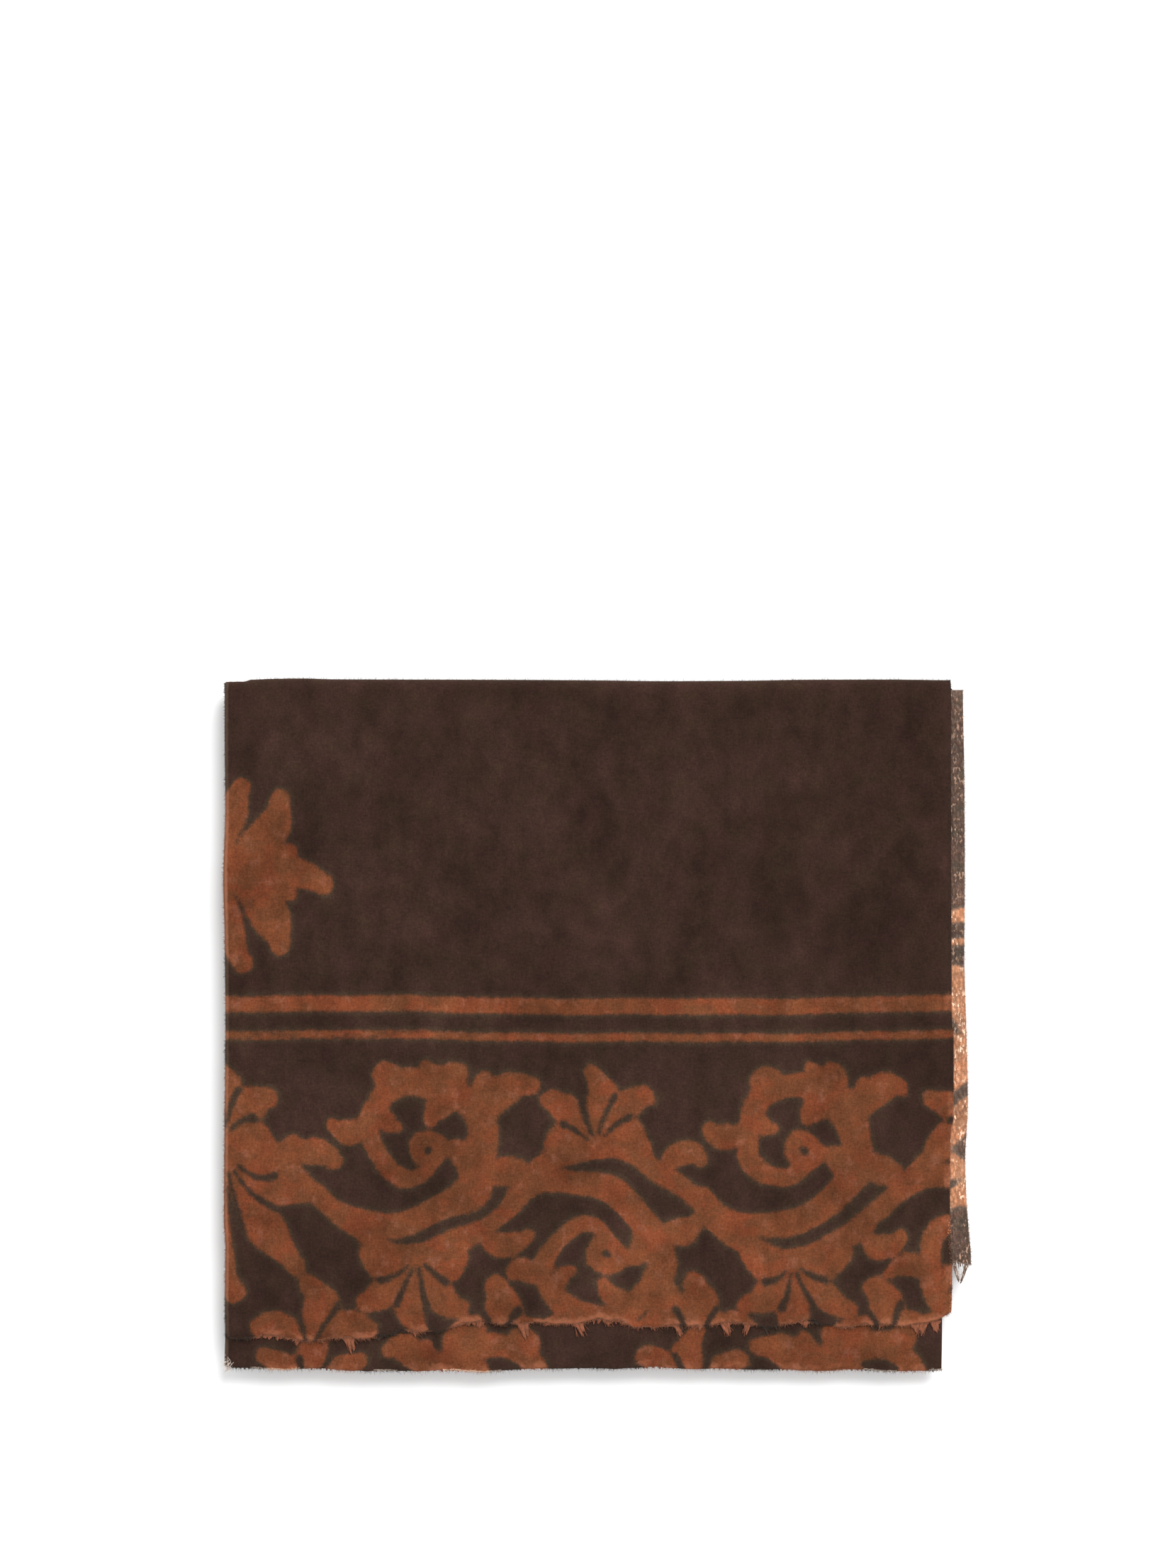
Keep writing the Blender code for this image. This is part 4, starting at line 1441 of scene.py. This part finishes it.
# Painted highlights: the cream flecks along ply C's raw end
fibres_cream_highlight = fibre_material("fibres_cream_highlight", (0.390, 0.310, 0.255), (0.680, 0.450, 0.310), 0.5)
# Orange fibres of the reverse at ply A's selvedge, made brighter as painted glints
fibres_orange_glint = fibre_material("fibres_orange_glint", (0.200, 0.090, 0.052), (0.520, 0.200, 0.095), 0.6)
threads_brown = fibre_material("threads_brown", (0.110, 0.066, 0.047), (0.150, 0.082, 0.056), 0.5)


# The two leaves that show
def spaced(*runs):
    """Places from 0 on, in runs of (stop, step), each divided evenly."""
    places = [0.0]
    for stop, step in runs:
        count = max(int(round((stop - places[-1]) / step)), 1)
        places += list(np.linspace(places[-1], stop, count + 1)[1:])
    return places


def shares_of(*runs):
    return [place / FACE_WIDTH for place in spaced(*runs)][1:]


def flats_of(*runs):
    """Shares of the way from the raw end to the back turn, past the first rows at the rim."""
    whole = runs[-1][0]
    return [0.004, 0.007] + [place / whole for place in spaced(*runs) if place / whole > 0.009]


RIM_RUN = (FACE_WIDTH, 0.0006)
FINE = shares_of((0.348, 0.0012), RIM_RUN)
COARSE = shares_of((0.330, 0.0150), (0.348, 0.0045), RIM_RUN)
STRIP_SHARES = shares_of((0.320, 0.0200), (0.334, 0.0050), (0.3485, 0.0010), RIM_RUN)
PANEL = 0.3073
LEAF_1 = Leaf(
    name="leaf_1_cloth",
    top_ply=11,
    fold=FOLD_A,
    over=SELVEDGE_A,
    under=SELVEDGE_B,
    over_end=END_A,
    under_end=END_B,
    over_pull=NO_PULL,
    raw=Raw(RAW_A, RAW_B, 0.7, 0.00095, 0.00040, True),
    shares=Shares(FINE, COARSE, COARSE, STRIP_SHARES),
)
LEAF_2 = Leaf(
    name="leaf_2_cloth",
    top_ply=9,
    fold=FOLD_C,
    over=SELVEDGE_C,
    under=SELVEDGE_D,
    over_end=END_C,
    under_end=END_D,
    over_pull=BACK_PULL,
    raw=Raw(RAW_C, RAW_D, 2.2, 0.00034, 0.0002, False),
    shares=Shares(FINE, COARSE, COARSE, COARSE),
)
ROWS_1 = leaf_rows(flats_of((0.142, 0.0013), (0.172, 0.003), (0.268, 0.0016), (PANEL, 0.004)), 14)
ROWS_2 = leaf_rows(flats_of((0.030, 0.0013), (0.050, 0.003), (PANEL, 0.010)), 10)
leaf_1, sides_1, prints_1 = make_leaf(LEAF_1, ROWS_1, print_of_leaf_1, [face, reverse])
leaf_2, sides_2, prints_2 = make_leaf(LEAF_2, ROWS_2, print_of_leaf_2, [face, reverse])
core = make_core(face)
FRINGES = [
    Fringe(
        name="tufts_a",
        end=RAW_A,
        floor=floor_a,
        land=9 * PITCH + PLY,
        print_of=print_of_leaf_1,
        upper=True,
        placed=HANGING_TUFTS,
        small=Small(120, 0.0013, 0.0012, -0.1770, 0.1640),
        root=0.0012,
        seed=3,
        hairs=16,
    ),
    Fringe(
        name="tufts_b",
        end=RAW_B,
        floor=floor_b,
        land=10 * PITCH,
        print_of=print_of_leaf_1,
        upper=False,
        placed=LOOSE_THREADS,
        small=Small(10, 0.0012, 0.0003, 0.1722, 0.1788),
        root=0.0010,
        seed=4,
        hairs=0,
    ),
    Fringe(
        name="tufts_c",
        end=RAW_C,
        floor=floor_c,
        land=8 * PITCH + PLY,
        print_of=print_of_leaf_2,
        upper=True,
        placed=[],
        small=Small(150, 0.0007, 0.0007, -0.1765, 0.1650),
        root=0.0012,
        seed=5,
        hairs=0,
    ),
]
tufts = [
    make_locks(fringe, material)
    for fringe, material in zip(FRINGES, (fibres_matted, threads_brown, fibres_matted))
]

# Fibres round the rims of plies A, B and C, from the nearest columns or rows of their points
outer_1, inner_1 = sides_1
outer_2 = sides_2[0]
COLUMNS_1 = np.arange(0, len(LEAF_1.shares.over_outer))
COLUMNS_2 = np.arange(0, len(LEAF_2.shares.over_outer))
FOLD_COLUMNS = COLUMNS_1[-1] + np.arange(2, 7)
STRIP_COLUMNS = np.arange(0, inner_1.points.shape[1])[-14:]
ALL_ROWS = np.arange(len(ROWS_1) - 1)
END_ROWS = np.arange(0, 3)
BACK_ROWS = np.arange(len(ROWS_1) - 12, len(ROWS_1) - 5)
FLECK_ROWS = np.arange(0, len(ROWS_1) // 3)
FINE_FIBRE = 0.00007
HAIR = 0.00013

# A patch keeps the fibres where slow waves along the rim are high: their run, and how high at least
Patch = namedtuple("Patch", "run least")
Fibres = namedtuple("Fibres", "name rims length radius material seed patch", defaults=(None,))
ON_FACE = (outer_1, prints_1[0])
ON_PLY_C = (outer_2, prints_2[0])
ON_STRIP = (inner_1, prints_1[1])
FRONT_RIMS = (
    Rim(*ON_FACE, END_ROWS, COLUMNS_1, (0.0, -1.0, 0.25), 4200),
    Rim(*ON_PLY_C, END_ROWS, COLUMNS_1, (0.0, -1.0, 0.0), 2600),
)
SIDE_RIMS = (
    Rim(*ON_FACE, ALL_ROWS, FOLD_COLUMNS, (-1.0, 0.0, 0.5), 3400),
    Rim(*ON_FACE, ALL_ROWS, COLUMNS_1[:3], (0.8, 0.0, 0.6), 2200),
    Rim(*ON_FACE, BACK_ROWS, COLUMNS_1, (0.0, 0.9, 0.5), 1500),
)
STRIP_RIMS = (
    Rim(*ON_STRIP, ALL_ROWS, STRIP_COLUMNS[-2:], (1.0, 0.0, 0.3), 1300),
    Rim(*ON_STRIP, ALL_ROWS, STRIP_COLUMNS, (0.5, -0.5, 0.9), 1300),
    Rim(*ON_STRIP, END_ROWS, STRIP_COLUMNS, (0.0, -1.0, 0.2), 260),
)
FLECK_RIMS = (Rim(*ON_PLY_C, END_ROWS, COLUMNS_2, (0.9, -0.5, 0.3), 4200),)
SELVEDGE_RIMS = (Rim(*ON_FACE, FLECK_ROWS, COLUMNS_1[:2], (0.8, 0.0, 0.4), 700),)
FUZZ = (
    Fibres("fuzz_front", FRONT_RIMS, 0.0019, FINE_FIBRE, fibres_loose, 21),
    Fibres("fuzz_sides", SIDE_RIMS, 0.0012, FINE_FIBRE, fibres_loose, 22),
    # The strip's pale fibres are painted glints
    Fibres("fuzz_strip", STRIP_RIMS, 0.0010, FINE_FIBRE, fibres_pale_glint, 23),
)
FLECKS = (
    # Cream flecks along ply C's raw end, as painted highlights
    Fibres("flecks_front", FLECK_RIMS, 0.0011, 0.00014, fibres_cream_highlight, 24, Patch(0.0175, 1.00)),
    # Orange flecks at ply A's front right selvedge, brightened as painted glints
    Fibres("flecks_selvedge", SELVEDGE_RIMS, 0.0007, 0.00015, fibres_orange_glint, 26, Patch(0.0110, 0.10)),
)


def rim_fibres(row):
    """One piece of loose fibres over some rims."""
    roots, ahead, edges = rim_roots(row.rims, row.seed)
    if row.patch:
        path = roots[:, 0] + roots[:, 1]
        run, least = row.patch
        waves = np.sin(path / run + 2.0) + np.sin(path / (0.43 * run)) + np.sin(path / (2.7 * run) + 1.0)
        kept = waves > least
        roots, ahead, edges = roots[kept], ahead[kept], edges[kept]
    return make_fuzz(row.name, roots, ahead, row.length, edges, row.material, row.seed, row.radius)


def white_hairs():
    """White hairs as painted highlights along the two bundles of loose threads and round ply C's front
    left corner.
    """
    draw = np.random.default_rng(31)
    roots = []
    ways = []
    for start, stop in np.array(THREAD_BUNDLES):
        share = draw.uniform(0.0, 0.9, (BUNDLE_HAIRS, 1))
        spot = start + share * (stop - start) + draw.normal(0, BUNDLE_SPREAD, (BUNDLE_HAIRS, 2))
        rise = 10 * PITCH + 0.0008 * draw.uniform(0.4, 1.2, BUNDLE_HAIRS)
        roots.append(np.stack(settled(*spot.T, rise), axis=-1))
        ways.append(np.tile((*(stop - start) / 0.008, 0.1), (BUNDLE_HAIRS, 1)))
    spot = np.array(CORNER_HAIR) + draw.normal(0, 1, (CORNER_HAIRS, 2)) * CORNER_SPREAD
    spot = np.maximum(spot, CORNER_LIMIT)
    rise = 9 * PITCH + PLY + 0.0002 - droop(spot[:, 1])
    roots.append(np.stack(settled(*spot.T, rise), axis=-1))
    ways.append(np.tile(CORNER_WAY, (CORNER_HAIRS, 1)))
    roots, ways = np.concatenate(roots), np.concatenate(ways)
    edges = np.full(len(roots), 5.0)
    return make_fuzz("hairs_white", roots, ways, 0.0030, edges, fibres_white_highlight, 32, HAIR)


fuzz = [rim_fibres(row) for row in FUZZ]
fuzz.append(white_hairs())
fuzz += [rim_fibres(row) for row in FLECKS]

for made, node, slot in (
    (leaf_1, "leaf_1", "printed_face"),
    (leaf_2, "leaf_2", "printed_face"),
    (core, "folded_core", "hidden_plies"),
    (tufts[0], "fringe_a", "tufts"),
    (tufts[1], "fringe_b", "tufts"),
    (tufts[2], "fringe_c", "tufts"),
):
    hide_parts(node)
for made in (leaf_1, leaf_2, core, *tufts, *fuzz):
    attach(made, "root")

# The floor, the light and the camera
FLOOR_SIZE = 8.0
SKY_STRENGTH = 1.05
KEY_STRENGTH = 2.9
KEY_SPREAD = math.radians(30)
KEY_TILT = (math.radians(-38), math.radians(22), 0.0)


def light_and_camera():
    bpy.ops.mesh.primitive_plane_add(size=FLOOR_SIZE, location=(0, 0, 0))
    floor = bpy.context.object
    floor.name = "floor"
    floor.data.materials.append(floor_material())
    world = bpy.data.worlds.new("studio")
    world.use_nodes = True
    background = world.node_tree.nodes["Background"]
    background.inputs["Color"].default_value = (1.0, 1.0, 1.0, 1.0)
    background.inputs["Strength"].default_value = SKY_STRENGTH
    bpy.context.scene.world = world
    sun = bpy.data.lights.new("key", "SUN")
    sun.energy = KEY_STRENGTH
    sun.angle = KEY_SPREAD
    key = bpy.data.objects.new("key", sun)
    key.rotation_euler = KEY_TILT
    bpy.context.scene.collection.objects.link(key)
    camera_data = bpy.data.cameras.new("camera")
    camera_data.lens = LENS_MM
    camera_data.sensor_width = SENSOR_MM
    camera = bpy.data.objects.new("camera", camera_data)
    scale = MM_PER_PIXEL / 1000
    right = (PHOTO_WIDE / 2 - PARCEL_MIDDLE_PX[0]) * scale
    back = (PARCEL_MIDDLE_PX[1] - PHOTO_HIGH / 2) * scale
    high = PHOTO_HIGH * scale * LENS_MM / SENSOR_MM
    camera.location = (right, back, CLOTH_TOP + high)
    bpy.context.scene.collection.objects.link(camera)
    bpy.context.scene.camera = camera
    bpy.context.scene.view_settings.view_transform = "Standard"


light_and_camera()
